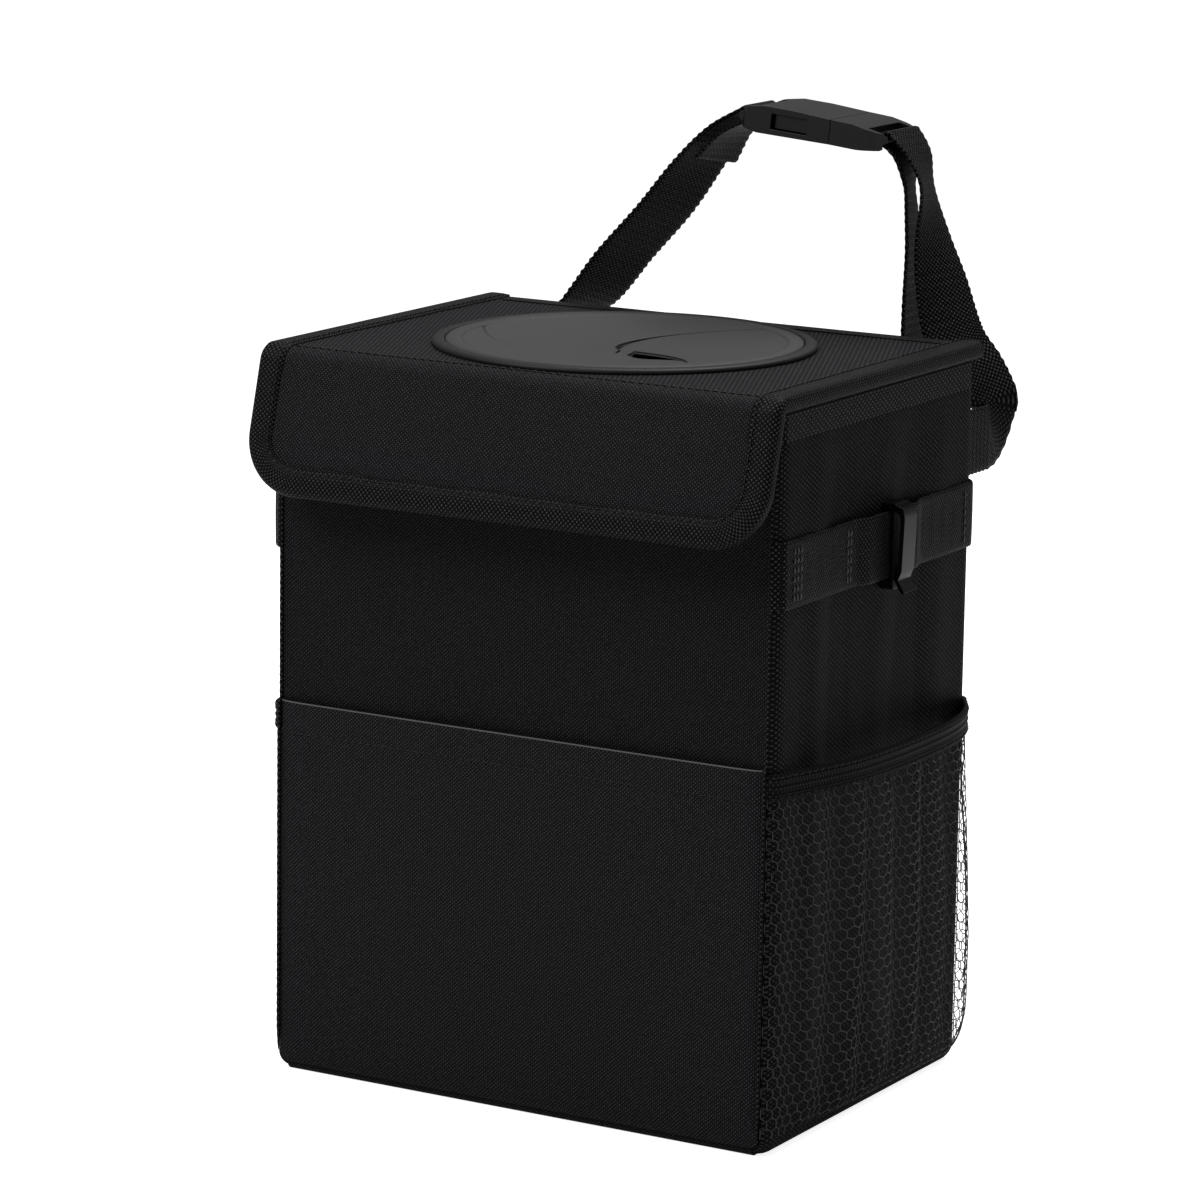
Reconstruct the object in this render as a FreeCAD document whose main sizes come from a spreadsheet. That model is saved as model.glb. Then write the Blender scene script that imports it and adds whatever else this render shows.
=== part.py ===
import FreeCAD, Part
import math
import os
import Sketcher

# Driving sizes in millimetres and degrees
SIZES = {
    "body_width": 215,
    "body_depth": 154,
    "rim_height": 274,
    "fabric": 1.0,
    "board": 2.0,
    "liner_wall": 0.8,
    "bottom_radius": 6.5,
    "seam_inset": 3.6,
    "corner_round": 3,
    "tape": 0.8,
    "binding_width": 10,
    "pocket_height": 144.5,
    "pocket_gap": 1.2,
    "net_bulge": 13,
    "net_wall": 1.0,
    "net_bottom": 10,
    "net_cell": 11,
    "net_hole": 8,
    "elastic_bottom": 133.5,
    "elastic_height": 10,
    "webbing_width": 25,
    "webbing_thick": 1.4,
    "band_drop": 71,
    "clip_place": 5,
    "clip_width": 10,
    "lid_rise": 6,
    "lid_overhang": 1.6,
    "lid_front": 5.5,
    "lid_core": 3.0,
    "flap_length": 54,
    "flap_angle": 15,
    "flap_corner": 22,
    "fold_radius": 6.6,
    "ring_place": -3,
    "ring_margin": 4.7,
    "ring_flange": 10.3,
    "ring_lip": 2.2,
    "petal_thick": 1.6,
    "petal_dip": 6,
    "petal_lift": 4.4,
    "petal_swirl": 95,
    "petal_slit": 0.7,
    "strap_out": 26,
    "strap_rise": 81,
    "buckle_left": -4.5,
    "buckle_width": 33,
    "buckle_thick": 11,
    "female_length": 41.5,
    "male_length": 24,
    "buckle_corner": 9,
    "buckle_tilt": 5,
}

doc = FreeCAD.newDocument("car_trash_can")
dims = doc.addObject("Spreadsheet::Sheet", "dims")
for row, (alias, size) in enumerate(SIZES.items(), 1):
    dims.set("A%d" % row, str(size))
    dims.setAlias("A%d" % row, alias)
doc.recompute()

# Expressions that several pieces share
HALF_WIDTH = "dims.body_width / 2"
HALF_DEPTH = "dims.body_depth / 2"
PANEL_TOP = "(dims.rim_height - dims.tape)"
LINER_HALF = "(dims.body_width / 2 - dims.fabric - 0.3)"
LINER_DEPTH = "(dims.body_depth / 2 - dims.fabric - dims.board)"
LID_HALF = "(dims.body_width / 2 + dims.lid_overhang)"
LID_FACE = "(-dims.body_depth / 2 - dims.lid_front)"
LID_STACK = "(2 * dims.fabric + dims.lid_core - 0.2)"
SINE = "sin(dims.flap_angle * 1deg)"
COSINE = "cos(dims.flap_angle * 1deg)"
LID_TOP = "(dims.rim_height + dims.lid_rise)"
BAND_BOTTOM = "(dims.rim_height - dims.band_drop)"
RING = "(dims.body_depth / 2 - dims.ring_margin)"
MOUTH = "(dims.body_depth / 2 - dims.ring_margin - dims.ring_flange)"
LID_HOLE = "(" + MOUTH + " + 2.4)"


def value(expression):
    return float(dims.evalExpression(expression))


def new_body(label):
    body = doc.addObject("PartDesign::Body", label)
    body.Label = label
    return body


# Closed outline whose corners each follow two expressions
def outline(body, role, corners):
    sketch = body.newObject("Sketcher::SketchObject", body.Name + "_sketch")
    plane = [item for item in body.Origin.OriginFeatures if item.Role == role][0]
    sketch.AttachmentSupport = (plane, [""])
    sketch.MapMode = "FlatFace"
    spots = [FreeCAD.Vector(value(across), value(along), 0) for across, along in corners]
    for index, spot in enumerate(spots):
        sketch.addGeometry(Part.LineSegment(spot, spots[(index + 1) % len(spots)]))
    for index in range(len(spots)):
        sketch.addConstraint(Sketcher.Constraint("Coincident", index, 2, (index + 1) % len(spots), 1))
    for index, (across, along) in enumerate(corners):
        spot = spots[index]
        for kind, formula, start in (("DistanceX", across, spot.x), ("DistanceY", along, spot.y)):
            place = sketch.addConstraint(Sketcher.Constraint(kind, -1, 1, index, 1, start))
            sketch.setExpression("Constraints[%d]" % place, formula)
    doc.recompute()
    return sketch


def pad(body, sketch, length, midplane=True):
    feature = body.newObject("PartDesign::Pad", body.Name + "_pad")
    feature.Profile = sketch
    feature.setExpression("Length", length)
    feature.Midplane = midplane
    sketch.Visibility = False
    doc.recompute()
    return feature


def revolve(body, sketch):
    feature = body.newObject("PartDesign::Revolution", body.Name + "_turn")
    feature.Profile = sketch
    feature.ReferenceAxis = (sketch, ["V_Axis"])
    feature.Angle = 360
    doc.recompute()
    return feature


# Rounds the edges that a test picks from the body's last shape
def round_edges(body, radius, picks):
    base = body.Tip
    names = []
    for index, edge in enumerate(base.Shape.Edges, 1):
        if picks(edge):
            names.append("Edge%d" % index)
    feature = body.newObject("PartDesign::Fillet", body.Name + "_round")
    feature.Base = (base, names)
    feature.setExpression("Radius", radius)
    doc.recompute()


def along(edge, axis):
    first, last = edge.Vertexes[0].Point, edge.Vertexes[-1].Point
    step = last - first
    return step.Length > 1e-6 and abs(step.normalize().dot(axis)) > 0.999


def middle(edge):
    return edge.valueAt((edge.FirstParameter + edge.LastParameter) / 2)


X_AXIS = FreeCAD.Vector(1, 0, 0)
Y_AXIS = FreeCAD.Vector(0, 1, 0)
Z_AXIS = FreeCAD.Vector(0, 0, 1)


# Upright slab with two rounded bottom corners, centred in depth on y
def slab(label, half, bottom, top, depth, radius, y="0", soft=None):
    body = new_body(label)
    corners = [("-" + half, bottom), (half, bottom), (half, top), ("-" + half, top)]
    pad(body, outline(body, "XZ_Plane", corners), depth)
    middle_height = (value(bottom) + value(top)) / 2
    round_edges(body, radius, lambda e: along(e, Y_AXIS) and middle(e).z < middle_height)
    if soft:
        face, ceiling = value(depth) / 2, value(top)
        round_edges(body, soft,
                    lambda e: abs(abs(middle(e).y) - face) < 1e-6 and middle(e).z < ceiling - 1e-6)
    body.setExpression("Placement.Base.y", y)
    doc.recompute()
    return body


def box(label, x, y, z, length, width, height):
    solid = doc.addObject("Part::Box", label)
    solid.Label = label
    sizes = {"Length": length, "Width": width, "Height": height}
    places = {"Placement.Base.x": x, "Placement.Base.y": y, "Placement.Base.z": z}
    for name, formula in {**sizes, **places}.items():
        solid.setExpression(name, formula)
    return solid


def cylinder(label, radius, x, y, z, height):
    solid = doc.addObject("Part::Cylinder", label)
    solid.Label = label
    for name, formula in (("Radius", radius), ("Height", height), ("Placement.Base.x", x),
                          ("Placement.Base.y", y), ("Placement.Base.z", z)):
        solid.setExpression(name, formula)
    return solid


def cut(label, base, tool):
    result = doc.addObject("Part::Cut", label)
    result.Label = label
    result.Base, result.Tool = base, tool
    doc.recompute()
    return result


def common(label, base, tool):
    result = doc.addObject("Part::Common", label)
    result.Label = label
    result.Base, result.Tool = base, tool
    doc.recompute()
    return result


def fuse(label, shapes):
    result = doc.addObject("Part::MultiFuse", label)
    result.Label = label
    result.Shapes = shapes
    doc.recompute()
    return result


def mirrored(label, source):
    result = doc.addObject("Part::Mirroring", label)
    result.Label = label
    result.Source = source
    result.Normal = X_AXIS
    doc.recompute()
    return result


def solid_feature(label, shape):
    result = doc.addObject("Part::Feature", label)
    result.Label = label
    result.Shape = shape
    return result


nodes = []

# Sewn body: gusset with turned seams, cut into two sides and a bottom
gusset_outer = slab("gusset_outer", HALF_WIDTH, "0", PANEL_TOP, "dims.body_depth",
                    "dims.bottom_radius", soft="dims.corner_round")
gusset_inner = slab("gusset_inner", "(dims.body_width / 2 - dims.fabric)", "dims.fabric",
                    PANEL_TOP + " + 5", "dims.body_depth - 2 * dims.fabric",
                    "dims.bottom_radius - dims.fabric", soft="dims.corner_round - dims.fabric")
SEAM_HALF = "(dims.body_width / 2 - dims.seam_inset)"
SEAM_RADIUS = "dims.bottom_radius - dims.seam_inset"
seam_window = slab("seam_window", SEAM_HALF, "dims.seam_inset", PANEL_TOP + " + 5", "dims.body_depth + 20",
                   SEAM_RADIUS)
gusset_shell = cut("gusset_shell", gusset_outer, gusset_inner)
gusset = cut("gusset", gusset_shell, seam_window)
side_zone = box("side_zone", "dims.body_width / 2 - dims.bottom_radius", "-dims.body_depth", "-10",
                "dims.bottom_radius + 10", "2 * dims.body_depth", "dims.rim_height + 20")
bottom_zone = box("bottom_zone", "-dims.body_width / 2 + dims.bottom_radius", "-dims.body_depth", "-10",
                  "dims.body_width - 2 * dims.bottom_radius", "2 * dims.body_depth", "dims.rim_height + 20")
side_panel_right = common("side_panel_right", gusset, side_zone)
side_panel_left = mirrored("side_panel_left", side_panel_right)
bottom_panel = common("bottom_panel", gusset, bottom_zone)
nodes += [side_panel_right, side_panel_left, bottom_panel]

PANEL_HALF = "(dims.body_width / 2 - dims.seam_inset - 0.05)"
PANEL_BOTTOM = "dims.seam_inset + 0.05"
BOARD_HALF = "(dims.body_width / 2 - dims.seam_inset - 0.6)"
for side, sign in (("front", "-"), ("back", "")):
    nodes.append(slab(side + "_panel", PANEL_HALF, PANEL_BOTTOM, PANEL_TOP, "dims.fabric", SEAM_RADIUS,
                      y=sign + "(dims.body_depth / 2 - dims.fabric / 2)"))
    nodes.append(slab(side + "_board", BOARD_HALF, "dims.seam_inset + 0.6", PANEL_TOP, "dims.board",
                      SEAM_RADIUS, y=sign + "(dims.body_depth / 2 - dims.fabric - dims.board / 2)"))
nodes.append(box("bottom_board", "-dims.body_width / 2 + dims.bottom_radius", "-" + LINER_DEPTH + " + 1",
                 "dims.fabric", "dims.body_width - 2 * dims.bottom_radius", "2 * " + LINER_DEPTH + " - 2",
                 "dims.board"))

# Leakproof liner, an open box inside the boards
liner_outer = slab("liner_outer", LINER_HALF, "dims.fabric + dims.board", PANEL_TOP, "2 * " + LINER_DEPTH,
                   "dims.bottom_radius - dims.fabric - dims.board")
liner_inner = slab("liner_inner", "(" + LINER_HALF + " - dims.liner_wall)",
                   "dims.fabric + dims.board + dims.liner_wall", PANEL_TOP + " + 5",
                   "2 * (" + LINER_DEPTH + " - dims.liner_wall)",
                   "dims.bottom_radius - dims.fabric - dims.board - dims.liner_wall")
nodes.append(cut("liner", liner_outer, liner_inner))

# Slip pocket, joined to the front along its sides and bottom
pocket_plate = slab("pocket_plate", PANEL_HALF, PANEL_BOTTOM, "dims.pocket_height",
                    "dims.fabric + dims.pocket_gap", SEAM_RADIUS,
                    y="-dims.body_depth / 2 - (dims.fabric + dims.pocket_gap) / 2")
pocket_space = slab("pocket_space", "(dims.body_width / 2 - dims.seam_inset - 4)", "dims.seam_inset + 4",
                    "dims.pocket_height + 5", "dims.pocket_gap", "dims.bottom_radius / 2",
                    y="-dims.body_depth / 2 - dims.pocket_gap / 2")
nodes.append(cut("front_pocket", pocket_plate, pocket_space))


# Strip that runs round the left, front and right of the rim
def rim_strip(label, out_half, out_front, in_half, in_front, back, height, z, radius):
    body = new_body(label)
    corners = [("-" + out_half, back), ("-" + out_half, "-" + out_front), (out_half, "-" + out_front),
               (out_half, back), (in_half, back), (in_half, "-" + in_front), ("-" + in_half, "-" + in_front),
               ("-" + in_half, back)]
    pad(body, outline(body, "XY_Plane", corners), height, midplane=False)
    front = -value(out_front)
    round_edges(body, radius, lambda e: along(e, Z_AXIS) and abs(middle(e).y - front) < 1e-6)
    body.setExpression("Placement.Base.z", z)
    doc.recompute()
    return body


INNER_HALF = "(" + LINER_HALF + " - dims.liner_wall)"
INNER_FRONT = "(" + LINER_DEPTH + " - dims.liner_wall)"
rim_block = rim_strip("rim_block", "(dims.body_width / 2 + dims.tape)", "(dims.body_depth / 2 + dims.tape)",
                      "(" + INNER_HALF + " - dims.tape)", "(" + INNER_FRONT + " - dims.tape)",
                      "dims.body_depth / 2 - 6", "dims.binding_width", "dims.rim_height - dims.binding_width",
                      "dims.corner_round + dims.tape")
rim_slot = rim_strip("rim_slot", "(dims.body_width / 2)", "(dims.body_depth / 2)", INNER_HALF, INNER_FRONT,
                     "dims.body_depth / 2", "dims.binding_width + 5",
                     "dims.rim_height - dims.binding_width - 5 - dims.tape", "dims.corner_round")
nodes.append(cut("rim_binding", rim_block, rim_slot))
nodes.append(box("hinge_tape", "-dims.body_width / 2 + 10", HALF_DEPTH,
                 "dims.rim_height - 1.8 * dims.binding_width", "dims.body_width - 20", "dims.tape",
                 "1.8 * dims.binding_width - 0.3"))


# Share of the bulge at shares of the body's depth, front to back
BULGE = [(-0.42, 0.30), (-0.34, 0.61), (-0.22, 0.84), (-0.07, 0.97), (0.08, 1.0), (0.22, 0.98), (0.33, 0.87),
         (0.41, 0.60)]


# Bulged wall of a side pocket, grown outwards by a distance
def bulge(label, grow, bottom, height):
    body = new_body(label)
    end = "(dims.body_depth / 2 - 4.5 + " + grow + ")"
    corners = [("dims.body_width / 2 - 4", "-" + end), ("dims.body_width / 2", "-" + end)]
    for place, share in BULGE:
        corners.append(("dims.body_width / 2 + dims.net_bulge * %s + %s" % (share, grow),
                        "dims.body_depth * (%s)" % place))
    corners += [("dims.body_width / 2", end), ("dims.body_width / 2 - 4", end)]
    pad(body, outline(body, "XY_Plane", corners), height, midplane=False)
    body.setExpression("Placement.Base.z", bottom)
    doc.recompute()
    return body


outside = box("outside", "dims.body_width / 2", "-dims.body_depth", "0", "60", "2 * dims.body_depth",
              "dims.rim_height")
net_outer = bulge("net_outer", "0", "dims.net_bottom", "dims.elastic_bottom - dims.net_bottom")
net_inner = bulge("net_inner", "(-dims.net_wall)", "dims.net_bottom + dims.net_wall", "dims.elastic_bottom")
net_shell = cut("net_shell", net_outer, net_inner)
net_wall = common("net_wall", net_shell, outside)

# Staggered six-sided openings of the net, driven through the bulged wall
cell, hole = value("dims.net_cell"), value("dims.net_hole")
low, high = value("dims.net_bottom") + 3 + hole / 2, value("dims.elastic_bottom") - 0.6 * cell
reach = value("dims.body_depth * 0.40")
rows = int((high - low) / (cell * 0.95)) + 1
columns = int(2 * reach / cell)
prisms = []
for line in range(rows):
    for column in range(columns):
        centre_y = (column - (columns - 1) / 2 + (0.21 if line % 2 else -0.29)) * cell
        centre_z = low + line * (high - low) / (rows - 1)
        ring = []
        for turn in range(7):
            angle = math.radians(60 * turn + 30)
            ring.append(FreeCAD.Vector(value(HALF_WIDTH) + 2, centre_y + hole / 2 * math.cos(angle),
                                       centre_z + hole / 2 * math.sin(angle)))
        prisms.append(Part.Face(Part.makePolygon(ring)).extrude(FreeCAD.Vector(40, 0, 0)))
net_holes = solid_feature("net_holes", Part.makeCompound(prisms))
mesh_pocket_right = cut("mesh_pocket_right", net_wall, net_holes)
mesh_pocket_left = mirrored("mesh_pocket_left", mesh_pocket_right)

elastic_outer = bulge("elastic_outer", "0.5", "dims.elastic_bottom", "dims.elastic_height")
elastic_inner = bulge("elastic_inner", "(-dims.net_wall - 0.4)", "dims.elastic_bottom - 1",
                      "dims.elastic_height + 2")
elastic_shell = cut("elastic_shell", elastic_outer, elastic_inner)
pocket_elastic_right = common("pocket_elastic_right", elastic_shell, outside)
pocket_elastic_left = mirrored("pocket_elastic_left", pocket_elastic_right)
nodes += [mesh_pocket_right, mesh_pocket_left, pocket_elastic_right, pocket_elastic_left]

# Webbing band, raised off the side where the clip slides
band = new_body("side_webbing_right")
FLOOR = "dims.body_width / 2"
RAISED = "dims.body_width / 2 + 2.4"
under = [(FLOOR, "-dims.body_depth / 2 + 4"), (FLOOR, "dims.clip_place - 26"),
         (RAISED, "dims.clip_place - 19"), (RAISED, "dims.clip_place + 19"),
         (FLOOR, "dims.clip_place + 26"), (FLOOR, "dims.body_depth / 2 - 6")]
shift = (0, -0.4, -0.4, 0.4, 0.4, 0)
over = [(x + " + dims.webbing_thick", y + " + %s" % move) for (x, y), move in zip(under, shift)]
pad(band, outline(band, "XY_Plane", under + over[::-1]), "dims.webbing_width", midplane=False)
band.setExpression("Placement.Base.z", BAND_BOTTOM)
side_webbing_left = mirrored("side_webbing_left", band)
nodes += [band, side_webbing_left]

# Hook clip: a loop round the band and a springy tongue open at the bottom
clip_block = box("clip_block", "dims.body_width / 2 + 0.4", "dims.clip_place - dims.clip_width / 2",
                 BAND_BOTTOM + " - 4", "2.4 + dims.webbing_thick + 1.8", "dims.clip_width",
                 "dims.webbing_width + 7")
clip_slot = box("clip_slot", "dims.body_width / 2 + 1.9", "dims.clip_place - dims.clip_width",
                BAND_BOTTOM + " - 0.5", "dims.webbing_thick + 0.9", "2 * dims.clip_width",
                "dims.webbing_width + 1")
clip_loop = cut("clip_loop", clip_block, clip_slot)
tongue = new_body("clip_tongue")
TONGUE = [(5.4, 28), (9.4, 26.5), (10.2, 23), (9.4, 3), (8.0, -0.5), (10.8, -4.8), (9.4, -5.4), (6.4, -0.8),
          (7.6, 3.3), (8.3, 22.5), (7.8, 24.2), (5.4, 25.2)]
tongue_corners = [("dims.body_width / 2 + dims.webbing_thick - 1.4 + %s" % x, BAND_BOTTOM + " + %s" % z)
                  for x, z in TONGUE]
pad(tongue, outline(tongue, "XZ_Plane", tongue_corners), "dims.clip_width")
tongue.setExpression("Placement.Base.y", "dims.clip_place")
hook_clip_right = fuse("hook_clip_right", [clip_loop, tongue])
hook_clip_left = mirrored("hook_clip_left", hook_clip_right)
nodes += [hook_clip_right, hook_clip_left]


# Point of the lid's section at a depth under its outer face and a run down the flap
def lid_corner(depth):
    return (LID_FACE + " + (%s) * (1 - %s) / %s" % (depth, SINE, COSINE), LID_TOP + " - (%s)" % depth)


def flap_point(depth, run):
    return (LID_FACE + " + (%s) * %s - (%s) * %s" % (depth, COSINE, run, SINE),
            LID_TOP + " - (%s) * %s - (%s) * %s" % (depth, SINE, run, COSINE))


# One folded layer of the lid and flap between two depths, wider by a margin
def lid_layer(label, upper, lower, margin, back, folds=True):
    body = new_body(label)
    run = "(dims.flap_length + %s)" % margin
    corners = [(back, LID_TOP + " - (%s)" % upper), lid_corner(upper), flap_point(upper, run),
               flap_point(lower, run), lid_corner(lower), (back, LID_TOP + " - (%s)" % lower)]
    pad(body, outline(body, "YZ_Plane", corners), "2 * (%s + %s)" % (LID_HALF, margin))
    drop = value(flap_point(lower, run)[1]) + 3
    round_edges(body, "dims.flap_corner + %s" % margin,
                lambda e: abs(along_x(e)) < 1e-6 and middle(e).z < drop)
    if folds:
        for depth in (upper, lower):
            y, z = (value(item) for item in lid_corner(depth))
            round_edges(body, "dims.fold_radius - (%s)" % depth,
                        lambda e: (along(e, X_AXIS) and abs(middle(e).y - y) < 1e-4
                                   and abs(middle(e).z - z) < 1e-4))
    return body


def along_x(edge):
    return edge.Vertexes[-1].Point.x - edge.Vertexes[0].Point.x


lid_hole = cylinder("lid_hole", LID_HOLE, "0", "dims.ring_place", LID_TOP + " - 30", "60")
cover_layer = lid_layer("cover_layer", "0", "dims.fabric", "0", HALF_DEPTH)
lining_layer = lid_layer("lining_layer", LID_STACK + " - dims.fabric + 0.2", LID_STACK, "0", HALF_DEPTH)
nodes.append(cut("lid_cover", cover_layer, lid_hole))
nodes.append(cut("lid_lining", lining_layer, lid_hole))
board_plate = box("board_plate", "-" + LID_HALF + " + 1", LID_FACE + " + 10",
                  LID_TOP + " - dims.fabric - dims.lid_core", "2 * " + LID_HALF + " - 2",
                  HALF_DEPTH + " - " + LID_FACE + " - 12", "dims.lid_core")
nodes.append(cut("lid_board", board_plate, lid_hole))
flap_board = new_body("flap_board")
FLAP_END = "(dims.flap_length - 1)"
FLAP_LOW = "(dims.fabric + dims.lid_core)"
flap_corners = [flap_point("dims.fabric", "10"), flap_point("dims.fabric", FLAP_END),
                flap_point(FLAP_LOW, FLAP_END), flap_point(FLAP_LOW, "10")]
pad(flap_board, outline(flap_board, "YZ_Plane", flap_corners), "2 * (%s - 1)" % LID_HALF)
flap_drop = value(flap_point(FLAP_LOW, FLAP_END)[1]) + 3
round_edges(flap_board, "dims.flap_corner - 1", lambda e: abs(along_x(e)) < 1e-6 and middle(e).z < flap_drop)
nodes.append(flap_board)

binding_block = lid_layer("binding_block", "-dims.tape", LID_STACK + " + dims.tape", "dims.tape", HALF_DEPTH)
binding_core = lid_layer("binding_core", "0", LID_STACK, "0", HALF_DEPTH + " + 1")
binding_window = lid_layer("binding_window", "-4", LID_STACK + " + 4", "(-dims.binding_width)",
                           HALF_DEPTH + " + 1", folds=False)
binding_shell = cut("binding_shell", binding_block, binding_core)
nodes.append(cut("lid_binding", binding_shell, binding_window))


# Turned ring with a section given as radius and height over the lid's top
def turned(label, section):
    body = new_body(label)
    corners = [(radius, LID_TOP + " + (%s)" % height) for radius, height in section]
    revolve(body, outline(body, "XZ_Plane", corners))
    body.setExpression("Placement.Base.y", "dims.ring_place")
    doc.recompute()
    return body


LIP = "dims.ring_lip"
nodes.append(turned("mouth_ring", [
    (RING, "0"), (RING, LIP + " - 1.2"), (RING + " - 1.3", LIP), (MOUTH + " + 5.3", LIP),
    (MOUTH + " + 5.3", "0.8"), (MOUTH, "0.8"), (MOUTH, "-8"), (MOUTH + " + 2", "-8"), (MOUTH + " + 2", "0")]))
nodes.append(turned("retaining_ring", [
    (MOUTH + " + 2.2", "-" + LID_STACK), (MOUTH + " + 6.5", "-" + LID_STACK),
    (MOUTH + " + 6.5", "-" + LID_STACK + " - 2"), (MOUTH + " + 2.2", "-" + LID_STACK + " - 2")]))
membrane_rim = turned("membrane_rim", [
    (MOUTH + " - 1.5", LIP + " - dims.petal_thick + 0.2"),
    (MOUTH + " + 5", LIP + " - dims.petal_thick + 0.2"), (MOUTH + " + 5", LIP), (MOUTH + " - 1.5", LIP)])

# Swirl petals: a funnel whose leading edges stand over the next petal
mouth = value(MOUTH)
thick = value("dims.petal_thick")
inner_radius = 3.5


def petal_line(start, share):
    line = []
    for step in range(7):
        radius = inner_radius + (mouth - 1.0 - inner_radius) * step / 6
        inward = 1 - radius / mouth
        gap = value("dims.petal_slit") / 2 / radius
        angle = math.radians(start + value("dims.petal_swirl") * inward)
        angle += gap + share * (math.radians(120) - 2 * gap)
        height = value(LID_TOP + " + dims.ring_lip") - value("dims.petal_dip") * (1 - (radius / mouth) ** 2)
        height += value("dims.petal_lift") * (0.5 - share) * inward ** 2
        line.append(FreeCAD.Vector(radius * math.cos(angle),
                                   radius * math.sin(angle) + value("dims.ring_place"), height))
    return line


# Block beyond a petal's hinge line
def beyond(start, distance):
    block = Part.makeBox(4 * mouth, 8 * mouth, 4 * mouth, FreeCAD.Vector(distance, -4 * mouth, -2 * mouth))
    block.rotate(FreeCAD.Vector(), Z_AXIS, start + 60)
    block.translate(FreeCAD.Vector(0, value("dims.ring_place"), value(LID_TOP)))
    return block


chord = mouth / 2
roots = [membrane_rim]
for number in range(3):
    start = 60 + 120 * number
    face = Part.BSplineSurface()
    face.interpolate([petal_line(start, share / 8) for share in range(9)])
    leaf = face.toShape().extrude(FreeCAD.Vector(0, 0, -thick))
    roots.append(solid_feature("petal_root_%d" % (number + 1), leaf.common(beyond(start, chord + 0.7))))
    below = FreeCAD.Vector(0, value("dims.ring_place"), value(LID_TOP) - mouth)
    inside = Part.makeCylinder(mouth - 2.1, 2 * mouth, below)
    nodes.append(solid_feature("petal_%d" % (number + 1), leaf.cut(beyond(start, chord)).common(inside)))
nodes.append(fuse("mouth_membrane", roots))


# Ribbon of webbing through stations of centre, twist about the upright and lean of its width
def ribbon(label, stations):
    spots = [FreeCAD.Vector(*station[:3]) for station in stations]
    sections = []
    for index, (spot, station) in enumerate(zip(spots, stations)):
        ahead = spots[min(index + 1, len(spots) - 1)] - spots[max(index - 1, 0)]
        ahead.normalize()
        twist, lean = math.radians(station[3]), math.radians(station[4])
        across = FreeCAD.Vector(math.cos(twist) * math.cos(lean), math.sin(twist) * math.cos(lean),
                                math.sin(lean))
        across = across - ahead * across.dot(ahead)
        across.normalize()
        normal = ahead.cross(across)
        half, thin = across * (value("dims.webbing_width") / 2), normal * (value("dims.webbing_thick") / 2)
        ring = [spot + half + thin, spot - half + thin, spot - half - thin, spot + half - thin]
        sections.append(Part.makePolygon(ring, True))
    return solid_feature(label, Part.makeLoft(sections, True, True))


# Place of the buckle, whose frame starts at the female end and tilts down to the right
WHOLE = "(dims.female_length + dims.male_length)"
tilt = FreeCAD.Rotation(Y_AXIS, value("dims.buckle_tilt"))
buckle_middle = FreeCAD.Vector(value("dims.buckle_left + %s / 2" % WHOLE),
                               value("dims.body_depth / 2 + dims.strap_out"),
                               value("dims.rim_height + dims.strap_rise"))
buckle_start = buckle_middle - tilt.multVec(FreeCAD.Vector(value(WHOLE) / 2, 0, 0))
buckle_place = FreeCAD.Placement(buckle_start, tilt)
BAR_INSET = 1.75


# Half turn of webbing round a buckle bar
def wrap(bar, angles):
    radius = 1.85 + value("dims.webbing_thick") / 2
    turns = [math.radians(angle) for angle in angles]
    return [(bar.x + radius * math.cos(turn), bar.y, bar.z + radius * math.sin(turn), 90, 0)
            for turn in turns]


depth = buckle_middle.y
female_bar = buckle_place.multVec(FreeCAD.Vector(BAR_INSET, 0, 0))
male_bar = buckle_place.multVec(FreeCAD.Vector(value(WHOLE) - BAR_INSET, 0, 0))
rim = value("dims.rim_height")
seam = value("dims.body_depth / 2")
side = value("dims.body_width / 2")
lift = value("dims.strap_rise") / 81
spread = value("dims.body_width") / 215


# Root of a strap: it stands straight back from the seam with its width upright, then turns up and over
def strap_root(x, shift, roll):
    bend = value("dims.webbing_width") / 2 + 0.6
    low = rim - 20 * lift - bend
    stations = [(x, seam + 0.3, low, 90, -90)]
    for angle in (0, 22.5, 45, 67.5, 90):
        turn = math.radians(angle)
        y = depth - bend + bend * math.sin(turn)
        z = low + bend * (1 - math.cos(turn))
        share = math.sin(turn) ** 2
        stations.append((x + shift * share, y, z, 90 - roll * share, angle - 90))
    return stations


# Each strap in stations from its root to its bar, round it and back
left_run = strap_root(-side + 1.5, 2, 8)
left_run += [(-side + 13 * spread, depth - 1, rim - 8 * lift, 74, 0),
             (-side + 31 * spread, depth - 3, rim + 4 * lift, 58, 0),
             (-side + 47.5 * spread, depth - 2, rim + 24 * lift, 54, 0),
             (-side + 64.5 * spread, depth - 1, rim + 43 * lift, 55, 0),
             (female_bar.x - 26, depth - 0.4, female_bar.z - 22, 62, 0),
             (female_bar.x - 13, depth, female_bar.z - 6.5, 77, 0)]
left_run += wrap(female_bar, (125, 90, 45, 0, -45, -80))
left_run += [(female_bar.x - 10, depth, female_bar.z - 8.5, 85, 0),
             (female_bar.x - 19, depth, female_bar.z - 20, 72, 0)]
right_run = strap_root(side - 1.5, -5, 28)
right_run += [(side - 13 * spread, depth - 1.5, rim - 7 * lift, 57, 0),
              (side - 21.7 * spread, depth - 3, rim + 5 * lift, 52, 0),
              (side - 28 * spread, depth - 2, rim + 24 * lift, 66, 0),
              (side - 32.5 * spread, depth - 1, rim + 40 * lift, 85, 0),
              (male_bar.x + 12.3, depth, male_bar.z - 19, 106, 0),
              (male_bar.x + 8.3, depth, male_bar.z - 6.5, 97, 0)]
right_run += wrap(male_bar, (45, 90, 135, 180, 225, 260))
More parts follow.
